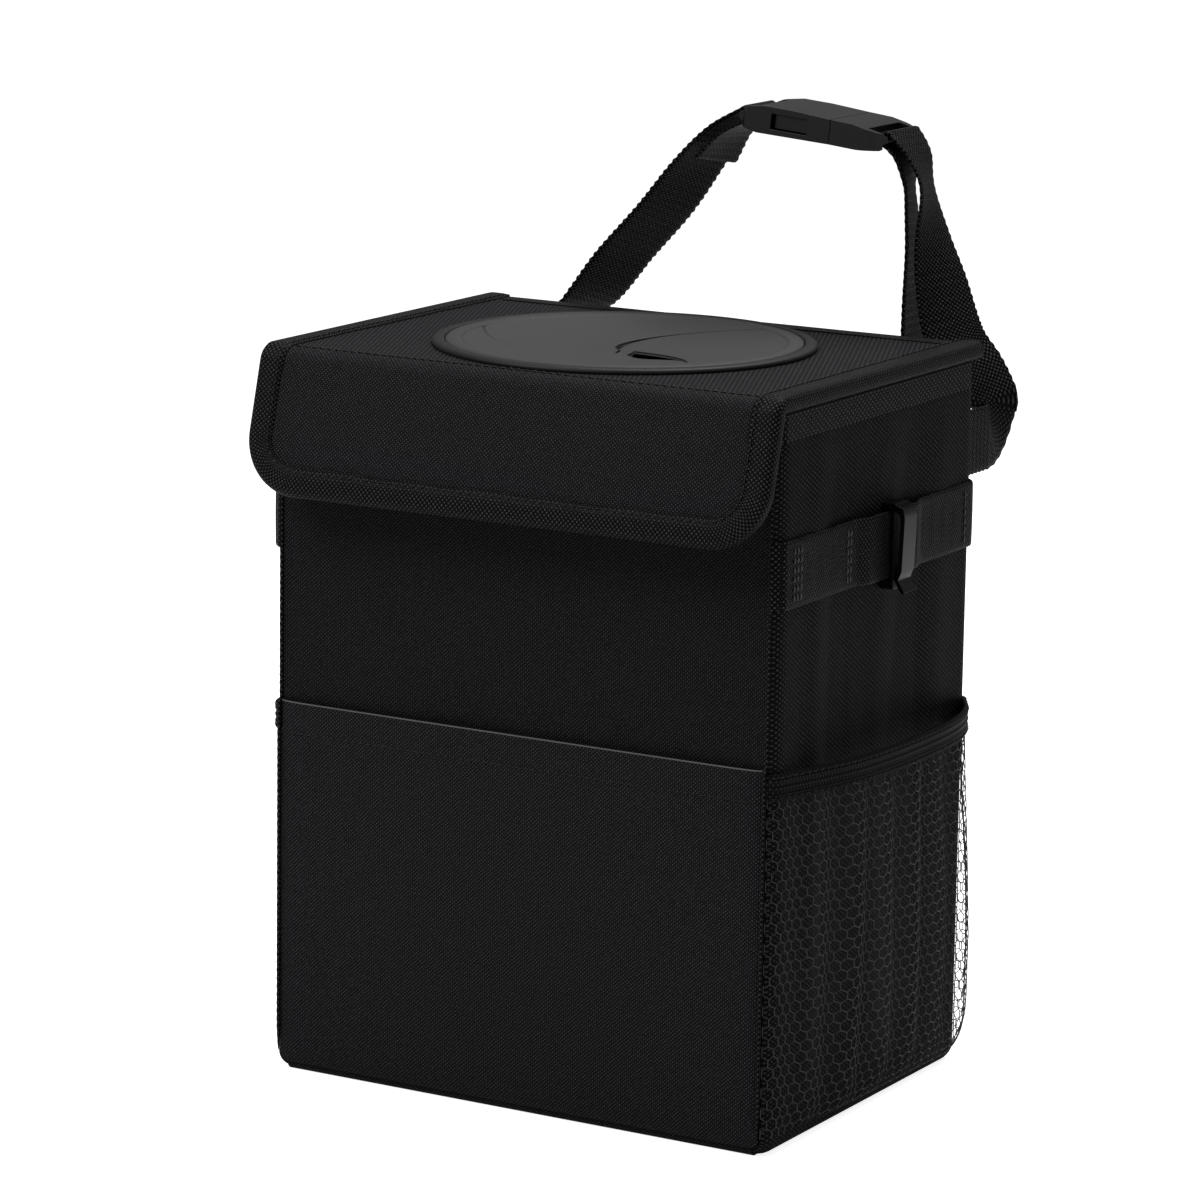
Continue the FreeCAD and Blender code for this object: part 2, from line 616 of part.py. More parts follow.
right_run += [(male_bar.x + 3.5, depth, male_bar.z - 7.5, 95, 0),
              (male_bar.x + 4.6, depth, male_bar.z - 18, 108, 0),
              (male_bar.x + 6, depth - 0.5, male_bar.z - 28, 107, 0),
              (male_bar.x + 8, depth - 2, rim + 36 * lift, 104, 0),
              (male_bar.x + 9.2, depth - 3, rim + 16 * lift, 98, 0),
              (male_bar.x + 10.5, depth - 3.5, rim - 8 * lift, 92, 0)]
nodes += [ribbon("strap_left", left_run), ribbon("strap_right", right_run)]


# Buckle half in the buckle's frame: an arched side view met with a plan that has two round corners
def buckle_half(label, first, last, side_view, round_end):
    arch = new_body(label + "_arch")
    corners = [("%s + (%s)" % (first, x), "dims.buckle_thick * (%s)" % share) for x, share in side_view]
    pad(arch, outline(arch, "XZ_Plane", corners), "dims.buckle_width")
    plan = new_body(label + "_plan")
    half = "(dims.buckle_width / 2)"
    corners = [(first, "-" + half), (last, "-" + half), (last, half), (first, half)]
    pad(plan, outline(plan, "XY_Plane", corners), "2 * dims.buckle_thick")
    end = value(round_end)
    round_edges(plan, "dims.buckle_corner", lambda e: along(e, Z_AXIS) and abs(middle(e).x - end) < 1e-6)
    return common(label + "_form", arch, plan)


# Buckle box between two distances from the female end, with half sizes across and through
def buckle_box(label, first, last, across, through, side="0"):
    return box(label, first, "(%s) - (%s)" % (side, across), "-(%s)" % through, "(%s) - (%s)" % (last, first),
               "2 * (%s)" % across, "2 * (%s)" % through)


def buckle_rod(label, x):
    rod = doc.addObject("Part::Cylinder", label)
    rod.Label = label
    rod.Radius = 1.7
    rod.setExpression("Height", "dims.buckle_width - 6")
    rod.Placement = FreeCAD.Placement(FreeCAD.Vector(), FreeCAD.Rotation(X_AXIS, -90))
    rod.setExpression("Placement.Base.x", x)
    rod.setExpression("Placement.Base.y", "-dims.buckle_width / 2 + 3")
    return rod


def placed(label, parts):
    node = solid_feature(label, fuse(label + "_joined", parts).Shape)
    node.Placement = buckle_place
    return node


HALF_BUCKLE, HALF_THICK = "dims.buckle_width / 2", "dims.buckle_thick / 2"
WEB_GAP = "dims.webbing_width / 2 + 0.7"
FEMALE = "dims.female_length"
FEMALE_VIEW = [("0", -0.24), ("0", 0.16), ("0.12 * " + FEMALE, 0.38), ("0.30 * " + FEMALE, 0.5),
               ("0.60 * " + FEMALE, 0.5), (FEMALE, 0.43), (FEMALE, -0.45), ("0.25 * " + FEMALE, -0.48),
               ("0.08 * " + FEMALE, -0.40)]
MALE_VIEW = [("0", -0.45), ("0", 0.43), ("0.4 * dims.male_length", 0.40), ("0.75 * dims.male_length", 0.26),
             ("dims.male_length - 0.3", 0.16), ("dims.male_length - 0.3", -0.24),
             ("0.86 * dims.male_length", -0.40), ("0.5 * dims.male_length", -0.47)]
female_form = buckle_half("female", "0", FEMALE, FEMALE_VIEW, "0")
female_hollow = fuse("female_hollow", [
    buckle_box("female_throat", "12", FEMALE + " + 5", HALF_BUCKLE + " - 1.8", HALF_THICK + " - 2.2"),
    buckle_box("female_window", "16", "32", HALF_BUCKLE + " + 5", HALF_THICK + " - 2.4"),
    buckle_box("female_slot", "-5", "9", WEB_GAP, HALF_THICK + " + 5")])
female_shell = cut("female_shell", female_form, female_hollow)
nodes.append(placed("buckle_female", [female_shell, buckle_rod("female_bar", str(BAR_INSET))]))
male_form = buckle_half("male", FEMALE + " + 0.3", WHOLE, MALE_VIEW, WHOLE)
male_slot = buckle_box("male_slot", WHOLE + " - 9", WHOLE + " + 5", WEB_GAP, HALF_THICK + " + 5")
male_base = cut("male_base", male_form, male_slot)
PRONG = "dims.buckle_width / 2 - 4.6"
nodes.append(placed("buckle_male", [
    male_base, buckle_rod("male_bar", WHOLE + " - %s" % BAR_INSET),
    buckle_box("prong_front", "17", FEMALE + " + 1", "2.5", HALF_THICK + " - 2.8", "-(%s)" % PRONG),
    buckle_box("prong_back", "17", FEMALE + " + 1", "2.5", HALF_THICK + " - 2.8", PRONG),
    buckle_box("male_tongue", "19", FEMALE + " + 1", "2.4", HALF_THICK + " - 3.2")]))

# Checks every object, then writes each node
doc.recompute()
os.makedirs("parts", exist_ok=True)
for item in doc.Objects:
    if "Invalid" in item.State or "Error" in item.State:
        raise RuntimeError(item.Label + " is not up to date")
for node in nodes:
    if node.Shape.isNull() or not node.Shape.isValid() or node.Shape.Volume <= 0:
        raise RuntimeError(node.Label + " has no valid solid")
    node.Shape.exportStep("parts/%s.step" % node.Label)
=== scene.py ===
import math
import bpy
import bmesh
import numpy as np
from mathutils import Matrix, Vector


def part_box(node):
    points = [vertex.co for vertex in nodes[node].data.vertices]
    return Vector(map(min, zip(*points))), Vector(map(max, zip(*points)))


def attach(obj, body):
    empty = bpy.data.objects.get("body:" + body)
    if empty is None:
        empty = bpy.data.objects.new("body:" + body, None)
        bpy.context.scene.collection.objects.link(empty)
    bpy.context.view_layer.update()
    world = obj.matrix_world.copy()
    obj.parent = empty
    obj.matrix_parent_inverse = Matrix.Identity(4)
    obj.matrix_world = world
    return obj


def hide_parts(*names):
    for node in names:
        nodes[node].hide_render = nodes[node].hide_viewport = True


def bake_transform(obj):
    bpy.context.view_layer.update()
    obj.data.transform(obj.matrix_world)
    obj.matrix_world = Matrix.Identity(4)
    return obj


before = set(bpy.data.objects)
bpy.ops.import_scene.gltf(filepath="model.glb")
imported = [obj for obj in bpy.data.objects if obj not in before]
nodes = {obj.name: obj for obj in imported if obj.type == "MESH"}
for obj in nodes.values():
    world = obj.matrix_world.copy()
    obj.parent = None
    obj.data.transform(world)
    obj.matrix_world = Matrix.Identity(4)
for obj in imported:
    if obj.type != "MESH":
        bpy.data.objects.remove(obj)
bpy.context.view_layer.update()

# Sizes read off the frame, in metres
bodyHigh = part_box("side_panel_right")[1]
halfWidth, halfDepth, panelTop = bodyHigh.x, bodyHigh.y, bodyHigh.z
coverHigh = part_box("lid_cover")[1]
lidHalf, lidTop = coverHigh.x, coverHigh.z
ringLow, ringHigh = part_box("mouth_ring")
ringY, ringTop = (ringLow.y + ringHigh.y) / 2, ringHigh.z
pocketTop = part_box("front_pocket")[1].z
elasticLow, elasticHigh = (corner.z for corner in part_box("pocket_elastic_right"))
webLow, webHigh = (corner.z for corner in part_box("side_webbing_right"))
clipLow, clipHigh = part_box("hook_clip_right")
clipY = 0.5 * (clipLow.y + clipHigh.y)


def newMaterial(name):
    mat = bpy.data.materials.new(name)
    mat.use_nodes = True
    return mat, mat.node_tree, mat.node_tree.nodes["Principled BSDF"]


def mathNode(tree, operation, first, second=None):
    node = tree.nodes.new("ShaderNodeMath")
    node.operation = operation
    for socket, value in zip(node.inputs, (first, second)):
        if isinstance(value, (int, float)):
            socket.default_value = value
        elif value is not None:
            tree.links.new(value, socket)
    return node.outputs[0]


# Fine noise read in the piece's own metres
def speckle(tree, coord, scale):
    noise = tree.nodes.new("ShaderNodeTexNoise")
    noise.inputs["Scale"].default_value = scale
    noise.inputs["Detail"].default_value = 2.0
    tree.links.new(coord.outputs["Object"], noise.inputs["Vector"])
    return noise.outputs[0]


def addBump(tree, shader, height, strength, distance):
    bump = tree.nodes.new("ShaderNodeBump")
    bump.inputs["Strength"].default_value = strength
    bump.inputs["Distance"].default_value = distance
    tree.links.new(height, bump.inputs["Height"])
    tree.links.new(bump.outputs[0], shader.inputs["Normal"])


# Woven cloth: sine of u times sine of v raises thread ends in staggered rows, u and v in metres.
# A finish with onPiece reads the piece's own metres in place of a UV map.
weave = {"shade": 0.35, "crown": 0.7, "contrast": 1.6, "speckle": 1100.0, "glint": 1.4, "dullest": -0.1,
         "bump": 0.7, "specular": 0.05}


def clothMaterial(name, finish):
    mat, tree, shader = newMaterial(name)
    coord = tree.nodes.new("ShaderNodeTexCoord")
    split = tree.nodes.new("ShaderNodeSeparateXYZ")
    onPiece = finish.get("onPiece", False)
    tree.links.new(coord.outputs["Object" if onPiece else "UV"], split.inputs[0])
    u, v = split.outputs[0], split.outputs[1]
    if onPiece:
        u, v = mathNode(tree, "ADD", u, v), split.outputs[2]
    waveU = mathNode(tree, "SINE", mathNode(tree, "MULTIPLY", u, math.pi / finish["cell"][0]))
    waveV = mathNode(tree, "SINE", mathNode(tree, "MULTIPLY", v, math.pi / finish["cell"][1]))
    parity = mathNode(tree, "MULTIPLY", waveU, waveV)
    over = mathNode(tree, "MAXIMUM", parity, 0.0)
    under = mathNode(tree, "MAXIMUM", mathNode(tree, "MULTIPLY", parity, -1.0), 0.0)
    shaded = mathNode(tree, "MULTIPLY", under, finish.get("shade", weave["shade"]))
    height = mathNode(tree, "ADD", mathNode(tree, "POWER", over, weave["crown"]), shaded)
    # Colour runs from the ground colour to the paler thread colour by the weave's height, highest on the
    # raised thread ends, times a speckled glint: the paler thread ends are a painted highlight of the black
    # cloth's sheen, and grain here is the speckle of that painted glint.
    grain = mathNode(tree, "MULTIPLY", speckle(tree, coord, weave["speckle"]), weave["glint"])
    glint = mathNode(tree, "ADD", grain, weave["dullest"])
    paintedSheen = mathNode(tree, "MULTIPLY", mathNode(tree, "POWER", height, weave["contrast"]), glint)
    blend = tree.nodes.new("ShaderNodeMix")
    blend.data_type = "RGBA"
    blend.inputs[6].default_value = (*finish["ground"], 1)
    blend.inputs[7].default_value = (*finish["thread"], 1)
    tree.links.new(paintedSheen, blend.inputs[0])
    tree.links.new(blend.outputs[2], shader.inputs["Base Color"])
    addBump(tree, shader, height, weave["bump"], finish["depth"])
    shader.inputs["Roughness"].default_value = finish["rough"]
    shader.inputs["Specular IOR Level"].default_value = weave["specular"]
    return mat


# Moulded plastic, rubber, film and thread: one colour with a fine grain
moulding = {"speckle": 900.0, "bump": 0.35}


def plasticMaterial(name, finish):
    mat, tree, shader = newMaterial(name)
    coord = tree.nodes.new("ShaderNodeTexCoord")
    addBump(tree, shader, speckle(tree, coord, moulding["speckle"]), moulding["bump"], finish["grain"])
    shader.inputs["Base Color"].default_value = (*finish["color"], 1)
    shader.inputs["Roughness"].default_value = finish["rough"]
    shader.inputs["Specular IOR Level"].default_value = finish["specular"]
    return mat


# The lid-top and lit finishes are lighter copies of oxford: painted light on the lid's top, the pocket and
# the flap. The lid-top finish also has a longer cell, for the weave seen across the lid.
clothFinish = {
    "oxford": {"ground": (0.0016, 0.0016, 0.0019), "thread": (0.058, 0.058, 0.064),
               "cell": (0.00082, 0.00074), "depth": 0.0003, "rough": 0.6},
    "oxfordTopLit": {"ground": (0.0026, 0.0026, 0.0031), "thread": (0.064, 0.064, 0.071),
                  "cell": (0.00095, 0.0022), "depth": 0.0003, "rough": 0.55},
    "oxfordLit": {"ground": (0.0022, 0.0022, 0.0026), "thread": (0.078, 0.078, 0.085),
                  "cell": (0.00082, 0.00074), "depth": 0.0003, "rough": 0.6},
    "oxfordSide": {"ground": (0.0009, 0.0009, 0.0011), "thread": (0.062, 0.062, 0.068),
                   "cell": (0.0014, 0.00095), "depth": 0.0004, "rough": 0.6, "shade": 0.15},
    "oxfordPlain": {"ground": (0.0016, 0.0016, 0.0019), "thread": (0.058, 0.058, 0.064),
                    "cell": (0.00082, 0.00074), "depth": 0.0003, "rough": 0.6, "onPiece": True},
    "tapeCloth": {"ground": (0.0012, 0.0012, 0.0014), "thread": (0.085, 0.085, 0.090),
                  "cell": (0.00092, 0.00100), "depth": 0.0005, "rough": 0.45, "shade": 0.1},
    "tapePlain": {"ground": (0.0010, 0.0010, 0.0012), "thread": (0.085, 0.085, 0.090),
                  "cell": (0.0015, 0.0011), "depth": 0.0005, "rough": 0.45, "shade": 0.1, "onPiece": True},
    "webCloth": {"ground": (0.0006, 0.0006, 0.0007), "thread": (0.085, 0.085, 0.088),
                 "cell": (0.00090, 0.00105), "depth": 0.0006, "rough": 0.42, "shade": 0.08},
    "elasticCloth": {"ground": (0.0016, 0.0016, 0.0018), "thread": (0.045, 0.045, 0.048),
                     "cell": (0.0008, 0.0014), "depth": 0.0004, "rough": 0.5},
}
plasticFinish = {
    # The net strands' grey, lighter than the black net, is a painted glint of the strands beside their gloss.
    "netThread": {"color": (0.013, 0.013, 0.014), "rough": 0.36, "grain": 0.0001, "specular": 0.5},
    "stitchThread": {"color": (0.0060, 0.0060, 0.0065), "rough": 0.5, "grain": 0.0001, "specular": 0.2},
    "paleThread": {"color": (0.070, 0.070, 0.073), "rough": 0.5, "grain": 0.0001, "specular": 0.3},
    "blackPlastic": {"color": (0.0020, 0.0020, 0.0022), "rough": 0.32, "grain": 0.00003, "specular": 0.42},
    "hookPlastic": {"color": (0.0014, 0.0014, 0.0015), "rough": 0.26, "grain": 0.00003, "specular": 0.26},
    "ringPlastic": {"color": (0.0075, 0.0075, 0.0080), "rough": 0.55, "grain": 0.00008, "specular": 0.22},
    "discRubber": {"color": (0.033, 0.033, 0.034), "rough": 0.62, "grain": 0.0001, "specular": 0.22},
    "liningFilm": {"color": (0.20, 0.205, 0.21), "rough": 0.5, "grain": 0.0001, "specular": 0.4},
    "boardStock": {"color": (0.16, 0.16, 0.16), "rough": 0.7, "grain": 0.0001, "specular": 0.3},
}
mats = {name: clothMaterial(name, finish) for name, finish in clothFinish.items()}
mats.update({name: plasticMaterial(name, finish) for name, finish in plasticFinish.items()})
print("materials made")


# Mesh from whole arrays: points, quads and a UV per point, in metres
def makePiece(name, points, faces, uv, mat, body, replaced=()):
    mesh = bpy.data.meshes.new(name)
    points = np.asarray(points, np.float32).reshape(-1, 3)
    faces = np.asarray(faces, np.int32)
    mesh.vertices.add(len(points))
    mesh.vertices.foreach_set("co", points.ravel())
    mesh.loops.add(faces.size)
    mesh.loops.foreach_set("vertex_index", faces.ravel())
    mesh.polygons.add(len(faces))
    mesh.polygons.foreach_set("loop_start", np.arange(len(faces), dtype=np.int32) * faces.shape[1])
    mesh.update(calc_edges=True)
    if uv is not None:
        layer = mesh.uv_layers.new(name="run")
        layer.data.foreach_set("uv", np.asarray(uv, np.float32).reshape(-1, 2)[faces.ravel()].ravel())
    mesh.polygons.foreach_set("use_smooth", np.ones(len(faces), bool))
    mesh.materials.append(mats[mat])
    mesh.validate()
    obj = bpy.data.objects.new(name, mesh)
    bpy.context.scene.collection.objects.link(obj)
    if replaced:
        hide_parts(*replaced)
    if body:
        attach(obj, body)
    return obj


# Quads of a grid of rows by columns, wrapping where asked
def gridFaces(rows, cols, wrapCols=False, wrapRows=False):
    row, col = np.meshgrid(np.arange(rows if wrapRows else rows - 1),
                           np.arange(cols if wrapCols else cols - 1), indexing="ij")
    nextRow, nextCol = (row + 1) % rows, (col + 1) % cols
    quads = [row * cols + col, row * cols + nextCol, nextRow * cols + nextCol, nextRow * cols + col]
    return np.stack(quads, -1).reshape(-1, 4)


# Points where two or three coordinates meet, each stretched to the common grid
def joined(*coordinates):
    return np.stack(np.broadcast_arrays(*coordinates), -1)


def unit(vectors):
    return vectors / np.linalg.norm(vectors, axis=-1, keepdims=True)


def lengthsAlong(points):
    return np.concatenate([[0], np.cumsum(np.linalg.norm(np.diff(points, axis=0), axis=1))])


# Ramp from 0 to 1 over a width, held at its ends
def ramp(value, width):
    return np.clip(value / width, 0, 1)


# Uneven field: a sum of sine waves in random directions
def smoothNoise(seed, terms, scale):
    local = np.random.default_rng(seed)
    freq = local.normal(0, scale, (terms, 2))
    phase = local.uniform(0, 2 * np.pi, terms)
    gain = local.uniform(0.5, 1.0, terms) / terms

    def field(a, b):
        return sum(g * np.sin(f[0] * a + f[1] * b + p) for g, f, p in zip(gain, freq, phase))
    return field


# Evenly spaced points on a smooth cubic through the given ones, with lengths from its start
def resample(points, count):
    points = np.asarray(points, float)
    padded = np.vstack([2 * points[0] - points[1], points, 2 * points[-1] - points[-2]])
    t = np.linspace(0, 1, 24, endpoint=False)[None, :, None]
    p0, p1, p2, p3 = (padded[k:len(padded) - 3 + k, None] for k in range(4))
    cubic = 0.5 * (2 * p1 + (p2 - p0) * t + (2 * p0 - 5 * p1 + 4 * p2 - p3) * t ** 2
                   + (3 * p1 - p0 - 3 * p2 + p3) * t ** 3)
    fine = np.vstack([cubic.reshape(-1, points.shape[1]), points[-1:]])
    length = lengthsAlong(fine[:, :3])
    at = np.linspace(0, length[-1], count)
    return np.stack([np.interp(at, length, column) for column in fine.T], 1), at


# Front panel: a flat sheet with a low uneven wave that dies out at the sides
frontPanel = {"half": halfWidth - 0.0037, "y": -halfDepth, "low": 0.0037, "high": panelTop, "wave": 0.0012,
              "cols": 90, "rows": 110}
panelX, panelZ = np.meshgrid(np.linspace(-1, 1, frontPanel["cols"]) * frontPanel["half"],
                             np.linspace(frontPanel["low"], frontPanel["high"], frontPanel["rows"]),
                             indexing="ij")
panelShare = 1 - (panelX / frontPanel["half"]) ** 4
panelY = frontPanel["y"] + frontPanel["wave"] * smoothNoise(3, 9, 38)(panelX, panelZ) * panelShare
makePiece("frontPanel", joined(panelX, panelY, panelZ), gridFaces(frontPanel["cols"], frontPanel["rows"]),
          joined(panelX, panelZ), "oxford", "bin", ["front_panel"])

# Slip pocket: one bowed sheet with rounded lower corners and a hem turned in at the top
pocket = {"half": halfWidth - 0.0036, "low": 0.0034, "high": pocketTop, "radius": 0.0030,
          "y": -halfDepth - 0.0008, "bow": 0.0021, "ripple": 0.0009, "ease": 0.0035, "hem": 0.013,
          "hemStep": 0.0015, "hemLift": 0.00035, "hemLap": 0.002, "flatShare": 0.75, "arc": 14,
          "edge": 0.00032, "edgeSeat": 0.0002, "cols": 121, "rows": 121}
hemTurn = np.array([(0, 0.0005, 0.0006), (0, 0.0016, 0.0002), (0, 0.0017, -0.012)])
pocketField = smoothNoise(11, 10, 30)


# How far the pocket stands forward away from its edges
def pocketBow(x, z):
    bow = pocket["flatShare"] + (1 - pocket["flatShare"]) * np.cos(x * pocket["arc"])
    return pocket["bow"] * bow + pocket["ripple"] * pocketField(x, z)


across, rise = np.meshgrid(np.linspace(-1, 1, pocket["cols"]), np.linspace(0, 1, pocket["rows"]),
                           indexing="ij")
pocketZ = pocket["low"] + rise * (pocket["high"] - pocket["low"])
cornerShare = ramp(pocket["radius"] - (pocketZ - pocket["low"]), pocket["radius"])
pocketX = across * (pocket["half"] - pocket["radius"] * (1 - np.sqrt(1 - cornerShare ** 2)))
lip = 1 - np.exp(-np.clip(1 - np.abs(across), 0, 1) * pocket["half"] / pocket["ease"])
foot = 1 - np.exp(-(pocketZ - pocket["low"]) / pocket["ease"])
hemShare = ramp(pocketZ - (pocket["high"] - pocket["hem"]), pocket["hemStep"])
pocketY = pocket["y"] - pocketBow(pocketX, pocketZ) * lip * foot - pocket["hemLift"] * hemShare * lip
pocketFront = joined(pocketX, pocketY, pocketZ)
pocketPoints = np.concatenate([pocketFront, pocketFront[:, -1:] + hemTurn], 1)
pocketUv = joined(pocketX, pocketZ)
pocketUv = np.concatenate([pocketUv, pocketUv[:, -len(hemTurn):] + [0, pocket["hemLap"]]], 1)
makePiece("frontPocket", pocketPoints, gridFaces(*pocketPoints.shape[:2]), pocketUv, "oxfordLit", "bin",
          ["front_pocket"])

# Thin bead along the pocket's top edge
beadTurn = np.linspace(0, 2 * np.pi, 8, endpoint=False)
beadRing = pocket["edge"] * joined(0, np.cos(beadTurn), np.sin(beadTurn))
beadPoints = pocketFront[:, -1:] + beadRing + [0, pocket["edgeSeat"], pocket["edgeSeat"]]
makePiece("pocketEdge", beadPoints, gridFaces(*beadPoints.shape[:2], wrapCols=True), None,
          "paleThread", "bin")
print("front made")

# Gusset side: a turned section carried down the side and round the bottom corner.
# Each fold is a height, a place along the depth, a width and a lean by height.
gusset = {"radius": 0.0065, "inset": 0.0036, "roll": 0.0075, "crease": 0.0015, "fade": 0.03,
          "foot": 0.004, "foldGain": 0.75, "unevenGain": 1.1, "sink": 0.25, "leanFrom": 0.2,
          "deepest": -0.0010, "proudest": 0.0007, "drops": 120, "bends": 12, "turns": 10, "flats": 70,
          "folds": [(0.9, -0.047, 0.007, 0), (-0.8, -0.030, 0.008, 0), (0.8, 0.004, 0.010, 0.02),
                    (-1.1, 0.026, 0.010, 0), (0.7, 0.050, 0.011, 0)]}


def gussetSide(name, sign, node, seed):
    radius, roll, drops = gusset["radius"], gusset["roll"], gusset["drops"]
    bend = np.linspace(0, np.pi / 2, gusset["bends"])[1:]
    pathX = np.concatenate([np.full(drops, halfWidth), halfWidth - radius * (1 - np.cos(bend))])
    pathZ = np.concatenate([np.linspace(panelTop, radius, drops), radius * (1 - np.sin(bend))])
    inX = np.concatenate([np.full(drops, -1.0), -np.cos(bend)])
    inZ = np.concatenate([np.zeros(drops), np.sin(bend)])
    turn = np.linspace(np.pi / 2, 0, gusset["turns"])
    cornerY = -halfDepth + roll * (1 - np.sin(turn))
    cornerIn = gusset["inset"] * (1 - np.cos(turn))
    flatY = np.linspace(-halfDepth + roll, halfDepth - roll, gusset["flats"])[1:-1]
    y = np.concatenate([cornerY, flatY, -cornerY[::-1]])[:, None]
    turnedIn = np.concatenate([cornerIn, np.zeros(len(flatY)), cornerIn[::-1]])[:, None]
    depthShare = np.clip(1 - (np.abs(y) / (halfDepth - gusset["foot"])) ** 6, 0, 1)
    heightShare = ramp(panelTop - pathZ, gusset["fade"]) * ramp(pathZ - gusset["foot"], gusset["fade"])
    fold = sum(height * np.exp(-((y - place - lean * (pathZ - gusset["leanFrom"])) / width) ** 2)
               for height, place, width, lean in gusset["folds"])
    uneven = smoothNoise(seed, 8, 26)(y * 2.2, pathZ * 0.7)
    creases = gusset["foldGain"] * fold + gusset["unevenGain"] * uneven - gusset["sink"]
    out = gusset["crease"] * creases * depthShare * heightShare
    inward = turnedIn - np.clip(out, gusset["deepest"], gusset["proudest"])
    points = joined(sign * (pathX + inX * inward), y, pathZ + inZ * inward)
    uv = joined(y, lengthsAlong(joined(pathX, pathZ)))
    faces = gridFaces(*points.shape[:2])[:, ::sign]
    makePiece(name, points, faces, uv, "oxfordSide", "bin", [node])


gussetSide("sideRight", 1, "side_panel_right", 21)
gussetSide("sideLeft", -1, "side_panel_left", 22)

# Turned edge of the front panel: a tapered round bead, standing a little proud along the seam
seam = {"x": halfWidth - 0.0034, "y": -halfDepth - 0.0002, "round": 0.0008, "low": 0.0075,
        "high": panelTop - 0.004, "taper": 0.010, "tip": 0.01, "proud": 0.0016, "twine": 0.0032,
        "twineDepth": 0.10, "count": 240, "turns": 12}


def seamEdge(name, sign):
    turn = np.linspace(0, 2 * np.pi, seam["turns"], endpoint=False)
    z = np.linspace(seam["low"], seam["high"], seam["count"])[:, None]
    taper = np.sqrt(np.clip((z - seam["low"]) / seam["taper"], seam["tip"], 1))
    swell = seam["round"] * taper * (1 + seam["twineDepth"] * np.sin(z * 2 * np.pi / seam["twine"]))
    x = sign * seam["x"] + swell * np.cos(turn)
    y = seam["y"] + swell * np.sin(turn) - seam["proud"] * (z < pocketTop)
    makePiece(name, joined(x, y, z), gridFaces(seam["count"], seam["turns"], wrapCols=True),
              joined(turn * seam["round"], z), "tapeCloth", "bin")


seamEdge("seamRight", 1)
seamEdge("seamLeft", -1)
print("sides made")

# Lid section: flat top, rolled fold and flared flap, by run from the back edge
lid = {"turn": math.radians(75), "fold": 0.0066, "flap": 0.054, "faceY": -halfDepth - 0.0055, "corner": 0.022,
       "tapeWidth": 0.0100, "stack": 0.0048, "tape": 0.0008, "hole": 0.0652, "puff": 0.0010, "sag": 0.0003,
       "flapUneven": 0.6, "flapFade": 0.02, "fade": 0.03,
       "wobbles": [(0.00025, 210, 0), (0.0002, 83, 1)]}  # size, rate and phase along the tape
tangent = lid["fold"] * math.tan(lid["turn"] / 2)
topRun = halfDepth - (lid["faceY"] + tangent)
foldRun = lid["fold"] * lid["turn"]
wholeRun = topRun + foldRun + lid["flap"] - tangent
lidField = smoothNoise(31, 9, 34)


# Place on the lid from x, the run s from the back edge and the height h over the cover
def lidMap(x, s, h):
    angle = np.clip((s - topRun) / lid["fold"], 0, lid["turn"])
    radius = lid["fold"] + h
    beyond = np.maximum(s - topRun - foldRun, 0)
    y = halfDepth - np.minimum(s, topRun) - radius * np.sin(angle) - beyond * math.cos(lid["turn"])
    z = lidTop - lid["fold"] + radius * np.cos(angle) - beyond * math.sin(lid["turn"])
    return joined(x, y, z)


# Softness of the lid's outer face: a shallow sag on top, a puffed flap
def lidPuff(x, s):
    uneven = lidField(x, s)
    flapShare = ramp(s - topRun - foldRun * 0.5, lid["flapFade"]) * ramp(wholeRun - s, lid["flapFade"])
    topShare = ramp(topRun - s, lid["fade"])
    puff = lid["puff"] * flapShare * (1 + lid["flapUneven"] * uneven) + lid["sag"] * topShare * uneven
    return ramp(lidHalf - np.abs(x), lid["fade"]) * puff


# Lid's top round the mouth: straight rays from the ring's hole out to the sheet's edges
topSheet = {"rays": 240, "rings": 26, "tiny": 1e-9}
theta = np.linspace(0, 2 * np.pi, topSheet["rays"], endpoint=False)
ringS = halfDepth - ringY
rayX, rayS = np.cos(theta), -np.sin(theta)
reachX = lidHalf / np.maximum(np.abs(rayX), topSheet["tiny"])
reachS = np.where(rayS > 0, topRun - ringS, ringS) / np.maximum(np.abs(rayS), topSheet["tiny"])
reach = np.minimum(reachX, reachS)[:, None]
dist = lid["hole"] + (reach - lid["hole"]) * np.linspace(0, 1, topSheet["rings"])
sheetX, sheetS = dist * rayX[:, None], ringS + dist * rayS[:, None]
# The lid's top wears the lighter lid-top cloth: painted light from above.
makePiece("lidTopSheet", lidMap(sheetX, sheetS, lidPuff(sheetX, sheetS)),
          gridFaces(topSheet["rays"], topSheet["rings"], wrapRows=True)[:, ::-1], joined(sheetX, sheetS),
          "oxfordTopLit", "lid", ["lid_cover"])

# Flap sheet from the fold down, with round lower corners under the tape
flapSheet = {"cols": 120, "rows": 70}
flapX, flapS = np.meshgrid(np.linspace(-1, 1, flapSheet["cols"]),
                           np.linspace(topRun, wholeRun, flapSheet["rows"]), indexing="ij")
cornerShare = ramp(flapS - (wholeRun - lid["corner"]), lid["corner"])
flapX = flapX * (lidHalf - lid["corner"] * (1 - np.sqrt(np.maximum(1 - cornerShare ** 2, 0))))
makePiece("flapSheet", lidMap(flapX, flapS, lidPuff(flapX, flapS)),
          gridFaces(flapSheet["cols"], flapSheet["rows"])[:, ::-1], joined(flapX, flapS),
          "oxfordLit", "lid", None)


